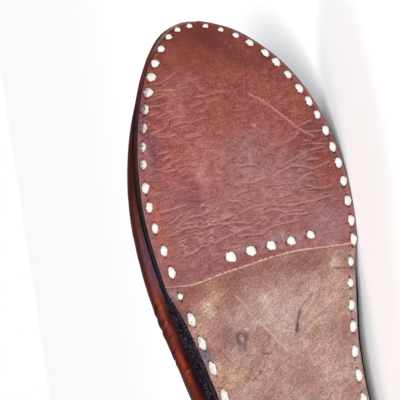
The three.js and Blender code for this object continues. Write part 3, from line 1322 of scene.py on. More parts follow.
@dataclass
class Sewing:
    """White cord sewn round the tread and across it ahead of the seam."""

    last: Last
    line_seed: int = 11
    proud: float = 0.55
    sunk: float = 0.9
    strands: int = 3
    strand_relief: float = 0.07
    slant: float = 0.35
    fluff: Grain = field(default_factory=lambda: Grain(21))
    lay_length: float = 3.4
    around: int = 18
    along: int = 15
    row_x: float = 184.8
    row_start: float = -15.3
    row_pitch: float = 10.25
    row_count: int = 5
    row_lean: float = 0.16
    row_size: Point = (4.7, 4.9)
    row_dwindling: float = 0.06
    row_fullness: float = 3.4
    steps: int = 700
    heel_space: float = 3.0
    shortest: float = 3.0
    narrowest: float = 2.0
    fullness: float = 2.5
    dust: float = 0.06
    twist_step: float = 1.7
    lines: tuple[SewnLine, ...] = (
        SewnLine(1, 1.7, 8.5, 8.2, 76, 0.027, 11.4, 2.7),
        SewnLine(-1, 6.1, 7.6, 8.4, 45, 0.037, 13.2, 2.7, 2.6, 132, 1.1),
    )
    stitches: list[Stitch] = field(default_factory=list)
    row: list[Stitch] = field(default_factory=list)

    def plan(self) -> None:
        """Works out every stitch of the line and of the row."""
        draw = np.random.default_rng(self.line_seed)

        def jitter() -> float:
            """A small random share about 0."""
            return float(draw.uniform(-1, 1))

        for line in self.lines:
            self.plan_line(line, jitter)
        for k in range(self.row_count):
            way = (self.row_lean + 0.05 * jitter(), 1.0)
            x, y = self.row_x + 0.4 * jitter(), self.row_start + self.row_pitch * k
            length, width = (size * (1 - self.row_dwindling * k) for size in self.row_size)
            self.row.append(Stitch(x, y, way, length, width, self.dust, self.row_fullness))

    def plan_line(self, line: SewnLine, jitter: Callable[[], float]) -> None:
        """Works out the stitches along one side of the tread.

        Args:
            line: How they lie.
            jitter: Draws small random shares about 0.
        """
        last, steps = self.last, self.steps
        from_tip = np.arange(steps, -1, -1) if line.side > 0 else np.arange(steps, 2 * steps)
        side = last.even_ring(steps).pick(from_tip)
        single = last.stack - last.half_sole - last.gap
        rim = last.edge(side, np.where(side.x > last.seam_at, last.stack, single))
        for at in line.places(side.from_toe[-1] - self.heel_space, jitter):
            k = int(np.argmin(np.abs(side.from_toe - at)))
            inset = line.inset_at(at) + 0.15 * jitter()
            x, y = rim[k, 0] - side.out_x[k] * inset, rim[k, 1] - side.out_y[k] * inset
            turn = math.radians(-line.side * 12 * (1 - ease(at, 20, 60)) + 4 * jitter())
            ahead_x, ahead_y = side.out_y[k], -side.out_x[k]
            cos, sin = math.cos(turn), math.sin(turn)
            way = (ahead_x * cos - ahead_y * sin, ahead_x * sin + ahead_y * cos)
            length = self.shortest + 1.5 * ease(at, 14, 44) + 1.3 * ease(at, 90, 170) + 0.4 * jitter()
            width = self.narrowest + 1.2 * ease(at, 12, 40) + 0.25 * jitter()
            width += line.fuller * hump(at, 34, 20)
            soil, full = self.dust, self.fullness
            near_seam = 0.6 * hump(x, 160, 12)
            if line.side < 0:
                length += ease(at, 150, 160)
                width += 0.5 * ease(at, 150, 160)
                soil = hump(at, 62, 26) + 0.4 * ease(at, 146, 160)
                full -= 0.7 * ease(at, 90, 170)
                near_seam = hump(x, 172, 4)
            length *= 1 - 0.42 * near_seam
            width *= 1 - 0.25 * near_seam
            self.stitches.append(Stitch(x, y, way, length, width, soil, full + 0.4 * jitter()))

    def surface(self, stitch: Stitch, x: Array) -> Array:
        """Height of the tread under a stitch."""
        ahead = stitch.x > self.last.seam_at
        return self.last.underside(x) - ahead * (self.last.half_sole + self.last.gap)

    def sew(self, skin: Skin, stitch: Stitch, phase: float) -> None:
        """Adds one stitch of twisted, flattened cord.

        Args:
            skin: The mesh.
            stitch: Which stitch.
            phase: Where its twist starts.
        """
        share = np.linspace(-1.08, 1.08, self.along)[:, None]
        angle = np.linspace(0, 2 * math.pi, self.around, endpoint=False)[None, :]
        wound = math.pi * share * stitch.length / self.lay_length
        twist = self.strands * (angle - wound) + phase
        swell = 1 + self.strand_relief * np.cos(twist)
        ragged = 1 + 0.22 * self.fluff.at(5 * share + 9 * phase, np.sin(angle / 2) * 6, 1.0)
        half = stitch.width / 2 * (1 - 0.74 * np.abs(share) ** stitch.fullness) * swell * ragged
        thick = self.proud * (1 - 0.35 * np.abs(share) ** 3) * swell
        across = half * np.cos(angle)
        along = share * stitch.length / 2 + self.slant * across * (1 - np.abs(share))
        rise = self.proud * 0.7 - self.sunk * np.abs(share) ** 3.4 + thick * np.sin(angle)
        x = stitch.x + stitch.way[0] * along - stitch.way[1] * across
        y = stitch.y + stitch.way[1] * along + stitch.way[0] * across
        z = self.surface(stitch, x) - rise
        outward = np.sign(stitch.y) * across * stitch.way[0] / (stitch.width / 2)
        soil = {Paint.SOIL: stitch.soil * (0.35 + 0.65 * ease(outward, -0.3, 0.6))}
        numbers = skin.add(np.stack([x, y, z], axis=-1), soil)
        skin.quads(numbers, closed=True)
        for end in (0, -1):
            middle = np.array([x[end].mean(), y[end].mean(), z[end].mean()])
            cap = int(skin.add(middle[None, :], {Paint.SOIL: stitch.soil})[0])
            skin.quads(np.stack([numbers[end], np.full(self.around, cap)]), closed=True)

    def build(self, finish: CordFinish) -> list[Piece]:
        """Makes the two pieces of sewing.

        Args:
            finish: The cord's finish.

        Returns:
            The pieces.
        """
        material = finish.material()
        made = []
        for name, stitches in (("sole_stitches", self.stitches), ("row_stitches", self.row)):
            skin = Skin(self.last)
            for k, stitch in enumerate(stitches):
                self.sew(skin, stitch, self.twist_step * k)
            made.append(seat(skin.piece(name, material)))
        return made


Dress = Callable[[Array, Pair], tuple[Array, Masks]]


@dataclass
class Sole:
    """Midsole, outsole and half sole: three layers of leather sewn through."""

    last: Last
    sewing: Sewing
    seam_skew: float = 1.8
    skew_over: float = 50.0
    skived_edge: float = 0.9
    skive_length: float = 11.0
    skive_slope: float = 0.5
    arris: float = 0.55
    roughness: float = 0.1
    waviness: float = 0.22
    hole_reach: float = 0.62
    hole_window: float = 3.0
    hole_depth: float = 0.5
    pull_reach: float = 3.2
    pull_window: float = 9.0
    pull_depth: float = 0.3
    off_rim: float = 50.0
    toe_cut: float = 1.3
    # ways round the outline from the toe tip, less than 0 on the inner side
    toe_cut_span: Limits = (-34, -20, 5.2, 6.4)
    bare_toe: Limits = (-60, -34, -4, 8)
    seam_wave_reach: float = 14.0
    seam_fade_rows: float = 12.0
    clear_rows: int = 20
    plain_columns: int = 6
    midsole_steps: int = 420
    outsole_fine_to: float = 0.585
    outsole_fine_steps: int = 380
    outsole_plain_steps: int = 90
    outsole_columns: int = 150
    half_sole_rows: int = 400
    half_sole_columns: int = 190
    half_sole_edge_from: int = 2
    half_sole_profile: tuple[Point, ...] = (
        (0.55, 1.0), (0.25, 0.965), (0.07, 0.88), (0.0, 0.74), (0.0, 0.5), (0.0, 0.25), (0.0, 0.0),
    )
    # width of a crease's ridge, painted pale partly as highlight, and of the painted shade beside it,
    # and how far each is moved along the sole
    crest: Point = (0.33, 0.0)
    trough: Point = (0.42, 0.72)
    edge_grain: Grain = field(default_factory=lambda: Grain(3))
    face_grain: Grain = field(default_factory=lambda: Grain(5))

    def rough(self, ring: Ring, depth: Array) -> Array:
        """How far the hand-cut edge stands in from its true line.

        Args:
            ring: Places on the outline.
            depth: How far below the midsole's top.

        Returns:
            The distance at each place.
        """
        along = ring.from_toe * ring.side
        fibre = self.edge_grain.at(along / 5, np.broadcast_to(depth, along.shape), 0.9)
        wave = self.edge_grain.at(along, along * 0, 13.0)
        return self.roughness * fibre + self.waviness * wave

    @staticmethod
    def seam_wave(y: Array) -> Array:
        """How far the half sole's back edge, cut by hand, waves about a straight line."""
        return 2.8 * hump(y, 14, 24) - 1.9 * hump(y, -36, 11)

    def seam_x(self, y: Array) -> Array:
        """Where the half sole's skewed and wavy back edge lies."""
        return self.last.seam_at - self.seam_skew * y / self.skew_over + self.seam_wave(y)

    def pale_back(self, y: Array) -> Array:
        """How pale the half sole's raw back edge is across the sole, least at the inner side."""
        return 0.35 + 0.65 * ease(y, -46, -30)

    @staticmethod
    def nearness(x: Array, y: Array, spread: tuple[float, float], points: Iterable[Point]) -> Array:
        """How near each place is to the closest of some points.

        Args:
            x: Places along the sole.
            y: Places across it.
            spread: How far a point reaches, and half the window it is worked out in.
            points: The points.

        Returns:
            The share, 1 at a point.
        """
        reach, window = spread
        mask = np.zeros(x.shape)
        for at_x, at_y in points:
            near = (np.abs(x - at_x) < window) & (np.abs(y - at_y) < window)
            far = (x[near] - at_x) ** 2 + (y[near] - at_y) ** 2
            mask[near] = np.maximum(mask[near], np.exp(-far / reach**2))
        return mask

    def holes(self, x: Array, y: Array) -> Array:
        """How near each place is to a hole of the sewing, 0 to 1, for the holes' painted shade and
        their depth.
        """
        ends = [end for stitch in self.sewing.stitches + self.sewing.row for end in stitch.ends()]
        return self.nearness(x, y, (self.hole_reach, self.hole_window), ends)

    def pulled(self, x: Array, y: Array) -> Array:
        """How much the cord draws the leather in round each stitch, 0 to 1."""
        middles = [(stitch.x, stitch.y) for stitch in self.sewing.stitches + self.sewing.row]
        return self.nearness(x, y, (self.pull_reach, self.pull_window), middles)

    def paint(self, marks: Iterable[Mark], x: Array, y: Array) -> Masks:
        """Paints marks with slightly ragged edges.

        Args:
            marks: The marks.
            x: Places along the sole.
            y: Places across it.

        Returns:
            The masks.
        """
        grain = self.face_grain
        push_x = grain.at(x, y, 9.0) + 0.45 * grain.at(x + 31, y, 3.5)
        push_y = grain.at(y, x, 9.0) + 0.45 * grain.at(y, x + 31, 3.5)
        masks: Masks = {}
        for mark in marks:
            ragged = 3.0 if isinstance(mark, Spot) and min(mark.reach) > 4 else 0.7
            mask = mark.mask(x + ragged * push_x, y + ragged * push_y)
            masks[mark.paint] = 1 - (1 - masks.get(mark.paint, 0.0)) * (1 - mask)
        return masks

    def rim(self, x: Array, y: Array, rims: Pair) -> Array:
        """How rubbed and greyed the tread is along its rims, most on the inner side; on the front sheet
        its lilac is partly a painted highlight.

        Args:
            x: Places along the sole.
            y: Places across it.
            rims: Distances from the outer and the inner rim.

        Returns:
            The share of 0 to 1.
        """
        ragged = 0.5 * self.face_grain.at(x, y, 3.0)
        inner = (1 - ease(rims[1] + ragged, 0.8, 2.4)) * (1 - ease(x, 236, 256))
        inner = inner * (0.3 + 0.7 * ease(x, 198, 222))
        outer = (1 - ease(rims[0] + ragged, 0.2, 1.1)) * 0.5
        return np.maximum(inner, outer)

    def relief(self, x: Array, y: Array, masks: Masks) -> Array:
        """How far the tread's surface stands out from its true form.

        Args:
            x: Places along the sole.
            y: Places across it.
            masks: What is painted there.

        Returns:
            Height in millimetres, outwards.
        """
        lumps = 0.16 * self.face_grain.at(x, y, 26.0) + 0.05 * self.face_grain.at(y, x, 7.0)
        lumps = lumps + 0.085 * masks.get(Paint.CREASE, 0.0) - 0.2 * masks.get(Paint.CUT, 0.0)
        return lumps - self.pull_depth * self.pulled(x, y) - self.hole_depth * masks[Paint.HOLE]

    def ladder(
        self,
        skin: Skin,
        sides: Pair,
        rows: Pair,
        columns: int,
        dress: Optional[Dress] = None,
    ) -> None:
        """Fills a face of a sheet between its two sides.

        Args:
            skin: The mesh.
            sides: Point numbers along the +Y and the -Y side.
            rows: The points of those sides.
            columns: How many columns the face has.
            dress: Moves and paints the inner points, given them and how far in they lie from each side.
        """
        right, left = sides
        share = np.linspace(0, 1, columns + 1)[1:-1][None, :, None]
        inner = rows[0][:, None, :] * (1 - share) + rows[1][:, None, :] * share
        masks: Masks = {}
        if dress:
            width = np.linalg.norm(rows[1] - rows[0], axis=-1)[:, None]
            inner, masks = dress(inner, (width * share[..., 0], width * (1 - share[..., 0])))
        grid = np.empty((len(right), columns + 1), int)
        whole = right != left
        grid[:, 0], grid[:, -1] = right, left
        grid[~whole] = right[~whole][:, None]
        painted = {paint: mask[whole] for paint, mask in masks.items()}
        grid[whole, 1:-1] = skin.add(inner[whole], painted)
        skin.quads(grid)

    def fill(
        self,
        skin: Skin,
        numbers: Array,
        points: Array,
        columns: int,
        dress: Optional[Dress] = None,
    ) -> None:
        """Fills a face inside a closed row of points round the outline.

        Args:
            skin: The mesh.
            numbers: The row's point numbers.
            points: Its points.
            columns: How many columns the face has.
            dress: Moves and paints the inner points.
        """
        up = np.arange(len(points) // 2 + 1)
        down = (len(points) - up) % len(points)
        self.ladder(skin, (numbers[up], numbers[down]), (points[up], points[down]), columns, dress)

    def layer(
        self,
        ring: Ring,
        profile: Sequence[tuple[Array, float]],
        columns: tuple[int, int],
        dress: Optional[Dress] = None,
        edge_from: int = 0,
    ) -> Skin:
        """Makes a full-length layer.

        Args:
            ring: Its outline.
            profile: Inset and depth of each row of its edge, from the tread side up.
            columns: Columns of its lower and upper face.
            dress: Dresses its lower face.
            edge_from: First row of the profile that is edge; 0 where all of it is.

        Returns:
            The layer's skin.
        """
        skin = Skin(self.last)
        rows, numbers = [], []
        around = ring.from_toe * ring.side
        toe_bare = 0.9 * window(around, self.bare_toe)
        for k, (inset, depth) in enumerate(profile):
            points = self.last.edge(ring, depth, inset + self.rough(ring, depth))
            rows.append(points)
            is_edge = np.where(ring.side > 0, k > edge_from, k >= edge_from) if edge_from else 1.0
            masks = {Paint.EDGE: is_edge, Paint.RAW: is_edge * toe_bare}
            if dress and k <= edge_from:
                far = np.where(ring.side > 0, 0, self.off_rim)
                masks.update(dress(points, (far, self.off_rim - far))[1])
            numbers.append(skin.add(points, masks))
        skin.quads(np.array(numbers), closed=True)
        self.fill(skin, numbers[0], rows[0], columns[0], dress)
        self.fill(skin, numbers[-1], rows[-1], columns[1])
        return skin

    def build_midsole(self, finish: BlackEdge) -> Piece:
        """Makes the midsole, of which the black edge shows.

        Args:
            finish: Its finish.

        Returns:
            The piece.
        """
        deep = self.last.midsole + self.last.gap / 2
        profile = [(0.0, deep), (0.0, deep - 0.6)]
        profile += [(0.0, depth) for depth in np.linspace(deep - 1.2, 0.7, 5)]
        profile += [(0.03, 0.45), (0.12, 0.2), (0.3, 0.05), (0.5, 0.0)]
        ring = self.last.even_ring(self.midsole_steps)
        skin = self.layer(ring, profile, (self.plain_columns, self.plain_columns))
        return seat(skin.piece("midsole_leather", finish.material()), "midsole")

    def dress_rear(self, inner: Array, rims: Pair) -> tuple[Array, Masks]:
        """Paints the rear tread and gives it its relief.

        Args:
            inner: The tread's points.
            rims: Distances from the outer and the inner rim.

        Returns:
            The moved points and their masks.
        """
        inner = inner.copy()
        x, y = inner[..., 0], inner[..., 1]
        seam = self.last.seam_at
        masks = self.paint(REAR_MARKS, x, y)
        masks[Paint.RIM] = np.maximum(masks[Paint.RIM], 0.15 * self.rim(x, y, rims))
        ragged = 0.5 * self.face_grain.at(x, y, 3.0)
        dark_band = (1 - ease(rims[1] + ragged, 0.2, 2.2)) * ease(x, 157, 168)
        masks[Paint.DARK] = np.maximum(masks[Paint.DARK], 0.75 * dark_band)
        masks[Paint.HOLE] = self.holes(x, y)
        # painted shade on the outsole just behind the half sole's step
        behind = np.clip(self.seam_x(y) - x, 0, None)
        masks[Paint.ORANGE] = np.maximum(masks[Paint.ORANGE], 0.75 * hump(behind, 0, 3.4))
        inner[..., 2] -= self.relief(x, y, masks) * (1 - ease(x, seam - 1, seam + 3))
        return inner, masks

    def build_outsole(self, finish: RearTread) -> Piece:
        """Makes the outsole, whose rear half is the rear tread.

        Args:
            finish: Its finish.

        Returns:
            The piece.
        """
        fine = np.linspace(0, self.outsole_fine_to, self.outsole_fine_steps)
        plain = np.linspace(self.outsole_fine_to, 1, self.outsole_plain_steps)
        ring = self.last.ring(np.concatenate([fine, plain[1:]]))
        low = self.last.midsole + self.last.gap + self.last.outsole
        top = self.last.midsole + self.last.gap / 2
        rounded = self.arris * (1 - ease(ring.x, self.last.seam_at - 6, self.last.seam_at + 2))
        profile = [(rounded, low), (rounded * 0.45, low - 0.07), (rounded * 0.12, low - 0.28)]
        profile += [(0.0, depth) for depth in (low - 0.6, low - 1.2, low - 1.8, low - 2.4, top)]
        columns = (self.outsole_columns, self.plain_columns)
        skin = self.layer(ring, profile, columns, self.dress_rear, edge_from=2)
        return seat(skin.piece("outsole_leather", finish.material()), "outsole")

    def dress_front(self, inner: Array, rims: Pair) -> tuple[Array, Masks]:
        """Paints the front tread and gives it its relief.

        Args:
            inner: The tread's points.
            rims: Distances from the outer and the inner rim.

        Returns:
            The moved points and their masks.
        """
        inner = inner.copy()
        ahead = np.clip(inner[..., 0] - self.last.seam_at, 0, None)
        inner[..., 0] += self.seam_wave(inner[..., 1]) * hump(ahead, 0, self.seam_wave_reach)
        x, y = inner[..., 0], inner[..., 1]
        masks = self.paint(FRONT_MARKS, x, y) | self.paint(FRONT_BENDS, x, y)
        crests, troughs = (
            self.paint([Stroke(Paint.CREASE, line, width) for line in FRONT_CREASES], x + shift, y)
            for width, shift in (self.crest, self.trough)
        )
        # the crests are painted pale partly as highlight, and the troughs beside them get painted shade
        # as well as relief
        ridge, groove_shade_and_cut = crests[Paint.CREASE], troughs[Paint.CREASE]
        masks[Paint.CREASE] = ridge - 0.7 * groove_shade_and_cut
        plain = 0.66 - 0.2 * ease(x, 240, 262)
        masks[Paint.LINE] = np.maximum(masks[Paint.LINE], plain * ridge)
        masks[Paint.CUT] = np.maximum(masks[Paint.CUT], 0.5 * groove_shade_and_cut)
        masks[Paint.HOLE] = self.holes(x, y) * (0.85 - 0.4 * ease(x, 250, 278))
        # rubbed rims, partly a painted highlight of the rounded edge
        masks[Paint.RIM] = self.rim(x, y, rims)
        fray = (0.3 + 0.3 * ease(y, -10, 10)) * self.face_grain.at(x * 3, y, 1.1)
        masks[Paint.RAW] = (1 - ease(x - self.seam_x(y) + fray, 0.1, 0.5)) * self.pale_back(y)
        inner[..., 2] -= self.relief(x, y, masks)
        return inner, masks

    def half_sole_sides(self) -> list[Ring]:
        """The outline ahead of the seam.

        Returns:
            Its +Y and its -Y side, from the seam to the toe tip.
        """
        line, lengths = self.last.half_line
        sides = []
        for side in (1, -1):
            seam = self.last.seam_at - side * self.seam_skew
            start = np.interp(seam, line[:, 0], lengths) / lengths[-1]
            shares = np.linspace(start, 1, self.half_sole_rows + 1)
            ring = self.last.ring(np.concatenate([[0.0], shares]))
            picks = side * np.arange(1, self.half_sole_rows + 2) % ring.count
            sides.append(ring.pick(picks))
        return sides

    def half_sole_edge(self, ring: Ring, inset: float, share: float) -> Array:
        """One row of points along a side of the half sole.

        Args:
            ring: The side.
            inset: How far in the row lies.
            share: Its share of the way down from the outsole to the tread.

        Returns:
            The points, from the seam to the toe tip.
        """
        last, along = self.last, ring.from_toe * ring.side
        pared = ease(ring.x, last.seam_at, last.seam_at + self.skive_length)
        thickness = last.gap + self.skived_edge + (last.half_sole - self.skived_edge) * pared
        depth = last.stack - last.half_sole - last.gap + thickness * share
        cut_back = self.toe_cut * window(along, self.toe_cut_span)
        points = last.edge(ring, depth, inset + cut_back + self.rough(ring, depth))
        shift = self.seam_x(points[0, 1]) - self.skive_slope * (1 - share) - points[0, 0]
        points[:, 0] += shift * np.exp(-np.arange(len(points)) / self.seam_fade_rows)
        return points

    def build_half_sole(self, finish: FrontTread) -> Piece:
        """Makes the half sole, the front tread sheet with its pared back edge.

        Args:
            finish: Its finish.

        Returns:
            The piece.
        """
        skin = Skin(self.last)
        rows, columns = self.half_sole_rows, self.half_sole_columns
        sides = self.half_sole_sides()
        across = np.linspace(0, 1, columns + 1)[1:-1, None]
        rims, numbers = [], []
        for k, (inset, share) in enumerate(self.half_sole_profile):
            right, left = (self.half_sole_edge(ring, inset, share) for ring in sides)
            back = right[0] * (1 - across) + left[0] * across
            back[:, 0] = self.seam_x(back[:, 1]) - self.skive_slope * (1 - share)
            row = []
            for chain, far in ((right, (0, self.off_rim)), (left[:-1], (self.off_rim, 0))):
                masks = {Paint.EDGE: 1.0}
                if k < self.half_sole_edge_from:
                    masks = {Paint.EDGE: 0.0, **self.dress_front(chain, far)[1]}
                row.append(skin.add(chain, masks))
            rear = skin.add(back, {Paint.RAW: self.pale_back(back[:, 1])})
            rims.append((right[1:], left[1:]))
            numbers.append((row[0], np.append(row[1], row[0][-1]), rear))
        loops = [np.concatenate([right, left[:-1][::-1], rear[::-1]]) for right, left, rear in numbers]
        skin.quads(np.array(loops), closed=True)
        right, left, rear = numbers[0]
        self.ladder(skin, (right[1:], left[1:]), rims[0], columns, self.dress_front)
        first = skin.count - (rows - 1) * (columns - 1)
        second = np.concatenate([[right[1]], np.arange(first, first + columns - 1), [left[1]]])
        skin.quads(np.array([np.concatenate([[right[0]], rear, [left[0]]]), second]))
        self.close_top(skin, *numbers[-1])
        made = skin.piece("half_sole_leather", finish.material())
        return seat(made, "half_sole")

    def close_top(self, skin: Skin, right: Array, left: Array, rear: Array) -> None:
        """Closes the hidden top face of the half sole with plain rungs, clear of the wavy seam.

        Args:
            skin: The mesh.
            right: Point numbers along the +Y side.
            left: Point numbers along the -Y side.
            rear: Point numbers along the seam.
        """
        clear = self.clear_rows
        seam = np.concatenate([[right[0]], rear, left[: clear + 1], right[1 : clear + 1][::-1]])
        skin.faces.append(seam.tolist())
        skin.quads(np.stack([right[clear:], left[clear:]], axis=1))


@dataclass(frozen=True)
class Crease:
    """A soft trough in the upper, between two places on its wall.

    Each place is a distance along the shoe and a share of the way up the wall.
    """

    side: int
    start: Point
    end: Point
    width: float
    depth: float


UPPER_CREASES: tuple[Crease, ...] = (
    Crease(-1, (169, 0.13), (164, 0.42), 0.9, 0.5),
    Crease(-1, (163, 0.14), (157, 0.5), 1.1, 0.7),
    Crease(-1, (155, 0.1), (153, 0.2), 0.7, 0.25),
    Crease(-1, (147, 0.16), (142, 0.5), 0.9, 0.45),
    Crease(-1, (139, 0.06), (135, 0.2), 0.8, 0.25),
    Crease(-1, (120, 0.3), (96, 0.78), 4.5, 0.8),
    Crease(-1, (205, 0.35), (196, 0.8), 4.0, 0.8),
    Crease(-1, (160, 0.82), (122, 0.86), 2.6, 0.8),
    Crease(-1, (150, 0.7), (118, 0.74), 2.4, 0.5),
    Crease(1, (170, 0.1), (164, 0.6), 2.6, 0.9),
    Crease(1, (152, 0.16), (147, 0.7), 3.0, 0.9),
    Crease(1, (118, 0.3), (98, 0.76), 4.5, 0.8),
    Crease(1, (205, 0.35), (197, 0.8), 4.0, 0.8),
    Crease(1, (158, 0.82), (120, 0.86), 2.6, 0.8),
    Crease(-1, (62, 0.3), (46, 0.8), 4.5, 0.7),
    Crease(1, (60, 0.3), (45, 0.8), 4.5, 0.7),
)


@dataclass
class Upper:
    """The hollow leather upper with its folded collar binding."""

    last: Last
    outer_rows: int = 60
    inner_rows: int = 34
    crowding: float = 1.25
    finer_from: float = 0.36
    finer_to: float = 0.7
    heel_steps: int = 60
    waist_steps: int = 230
    toe_steps: int = 70
    uneven_wall: Limits = (0.0, 0.08, 0.88, 0.97)
    usual_height: float = 60.0
    # where painted shade darkens the wall low at the waist
    dark_waist: Limits = (90, 120, 140, 158)
    binding_steps: int = 200
    binding_from: float = 0.6
    binding_rows: int = 120
    binding_lip: int = 12
    binding_leather: float = 0.9
    binding_gap: float = 0.45
    pucker: float = 0.12
    pucker_size: float = 2.6
    # depth below the collar and swell of the binding's legs, from the hem up, and the fold's angles
    binding_legs: tuple[Point, ...] = (
        (5.0, -0.25), (4.7, 0.0), (3.6, 0.12), (2.4, 0.15), (1.2, 0.1), (0.0, 0.0),
    )
    binding_fold: tuple[float, ...] = (0.5, 0.95, 1.3)
    grain: Grain = field(default_factory=lambda: Grain(9))
    # share of the foot line; collar's x, half width and height; swell of foot and top; more inside
    wall_rows: tuple[tuple[float, ...], ...] = (
        (0, 7, 0, 71, 4, 24, 3, 20, 0),
        (0.16, 34, 27, 64, 9.5, 18, 8, 16, 2),
        (0.36, 98, 33, 52, 10, 14, 9, 13, 5),
        (0.5, 142, 34, 51, 10, 14, 13, 11, 5.4),
        (0.63, 169, 26, 55, 9, 18, 21, 5, 6.4),
        (0.8, 182, 11.5, 60, 4, 19, 40, 8, 7),
        (1, 184, 0, 61, 4, 16, 58, 15, 0),
    )

    def curves(self, ring: Ring) -> list[Array]:
        """Works out the curve of every section of the wall.

        Args:
            ring: The outline.

        Returns:
            The curves' four control points, from the foot to the collar.
        """

        def at(number: int, parity: int = 1) -> Array:
            """One column of the table of sections."""
            return self.last.column(self.wall_rows, number, ring.share, parity)

        out = np.c_[ring.out_x, ring.out_y, np.zeros(ring.count)]
        up = np.array([0, 0, 1.0])
        foot = np.c_[ring.x, ring.y, self.last.sole_top(ring.x) + self.last.gap] - out * self.last.ledge
        collar = np.c_[at(1), ring.side * at(2, -1), at(3)]
        away = (foot - collar) * (1, 1, 0)
        away /= np.linalg.norm(away, axis=1)[:, None]
        swell = at(4) + (ring.side < 0) * at(8)
        low = foot + out * swell[:, None] + up * at(5)[:, None]
        high = collar + away * at(6)[:, None] - up * at(7)[:, None]
        return [foot, low, high, collar]

    def rows(self, ring: Ring, shares: Array) -> Array:
        """Rows of points up the wall, at shares of 0 at the foot to 1 at the collar."""
        return cubic(shares[:, None, None], *self.curves(ring))

    @staticmethod
    def outward(rows: Array) -> Array:
        """Works out which way the wall faces.

        Args:
            rows: Its rows of points, from the lowest up.

        Returns:
            The outward direction at every point, level in the lowest row.
        """
        along = np.roll(rows, -1, axis=1) - np.roll(rows, 1, axis=1)
        normal = np.cross(np.gradient(rows, axis=0), along)
        normal[0, :, 2] = 0
        return normal / np.linalg.norm(normal, axis=-1, keepdims=True)

    def creased(self, ring: Ring, shares: Array, rows: Array) -> Pair:
        """The creases' depth, with soft ridges beside them, and their shade.

        Args:
            ring: The outline.
            shares: The rows' shares up the wall.
            rows: The wall's points.

        Returns:
            Distance outwards and shade of 0 to 1 at every point.
        """
        height = np.linalg.norm(np.diff(rows, axis=0), axis=-1).sum(axis=0)
        push, shade = np.zeros(rows.shape[:2]), np.zeros(rows.shape[:2])
        x = ring.x + 2.2 * self.grain.at(rows[..., 0], rows[..., 2], 9.0)
        for crease in UPPER_CREASES:
            px, py = x - crease.start[0], (shares[:, None] - crease.start[1]) * height
            wx, wy = crease.end[0] - crease.start[0], (crease.end[1] - crease.start[1]) * height
            along = np.clip((px * wx + py * wy) / (wx * wx + wy * wy), 0, 1)
            far = np.hypot(px - along * wx, py - along * wy) / crease.width
            taper = np.sin(np.pi * np.clip(along, 0.04, 0.96)) ** 0.6
            mine = (ring.side == crease.side) * taper
            push += mine * crease.depth * (0.4 * np.exp(-((far - 1.9) ** 2)) - np.exp(-(far**2)))
            shade = np.maximum(shade, mine * np.exp(-((far * 1.9) ** 2)))
        return push, shade

    def wear(self, ring: Ring, rows: Array) -> Masks:
        """Where the outer side is rougher with a painted sheen, where painted shade falls and where a
        near-black band lies at its foot.

        Args:
            ring: The outline.
            rows: The wall's points.

        Returns:
            The masks.
        """
        x = ring.x
        climb = np.linalg.norm(np.diff(rows, axis=0), axis=-1).cumsum(axis=0)
        climb = np.concatenate([np.zeros((1, ring.count)), climb])
        sheen_height = 0.5 + 8.0 * hump(x, 193, 22)
        # painted shade, deeper as the wall turns away from the light towards its outline
        turned = climb / (9.2 + 0.085 * np.clip(250 - x, 0, 130))
        turned_away = ease(turned, 0.42, 0.76) * (1 - 0.7 * ease(climb, 22, 44))
        # painted shade low on the waist's wall and in the groove at the wall's foot
        low_waist = (1 - ease(climb, 4.5, 8.5)) * window(x, self.dark_waist)
        foot = 0.9 * hump(climb, 0, 1.6)
        uneven = climb + 1.2 * self.grain.at(ring.from_toe * ring.side, climb, 4.0)
        # GREY is the painted sheen, DARK the painted shade, EDGE a near-black band low on the rear wall
        return {
            Paint.GREY: (1 - ease(climb / sheen_height, 0.7, 1.25)) * hump(x, 188, 22),
            Paint.DARK: np.maximum(np.maximum(turned_away, foot), 0.85 * low_waist),
            Paint.EDGE: (1 - ease(uneven, 4.0, 6.6)) * (1 - ease(x, 162, 186)),
        }

    def build_upper(self, finish: UpperLeather) -> Piece:
        """Makes the upper: outer side, rim, lining and foot.

        Args:
            finish: Its finish.

        Returns:
            The piece.
        """
        heel = np.linspace(0, self.finer_from, self.heel_steps, endpoint=False)
        waist = np.linspace(self.finer_from, self.finer_to, self.waist_steps, endpoint=False)
        toe = np.linspace(self.finer_to, 1, self.toe_steps + 1)
        ring = self.last.ring(np.concatenate([heel, waist, toe]))
        shares = np.linspace(0, 1, self.outer_rows + 1) ** self.crowding
        rows = self.rows(ring, shares)
        push, shade = self.creased(ring, shares, rows)
        fade = window(shares, self.uneven_wall)[:, None]
        around, up = ring.from_toe * ring.side, shares[:, None] * self.usual_height
        lumps = 0.28 * self.grain.at(around, up, 17.0) + 0.06 * self.grain.at(around, up, 5.0)
        outer = rows + self.outward(rows) * ((push + lumps) * fade)[..., None]
        outer[0, :, 2] -= self.last.gap
        lining = self.rows(ring, np.linspace(0, 1, self.inner_rows + 1))
        inner = lining - self.outward(lining) * self.last.wall
        inner[0, :, 2] -= self.last.gap

        skin = Skin(self.last)
        # masks of the painted crease shade, the painted sheen, the painted shade and the near-black
        # band
        first = skin.add(outer, {Paint.CREASE: shade * fade, **self.wear(ring, rows)})
        second = skin.add(inner[::-1], {Paint.LINING: 1.0})
        skin.quads(np.concatenate([first, second, first[:1]]), closed=True)
        return seat(skin.piece("upper_leather", finish.material()), "upper")

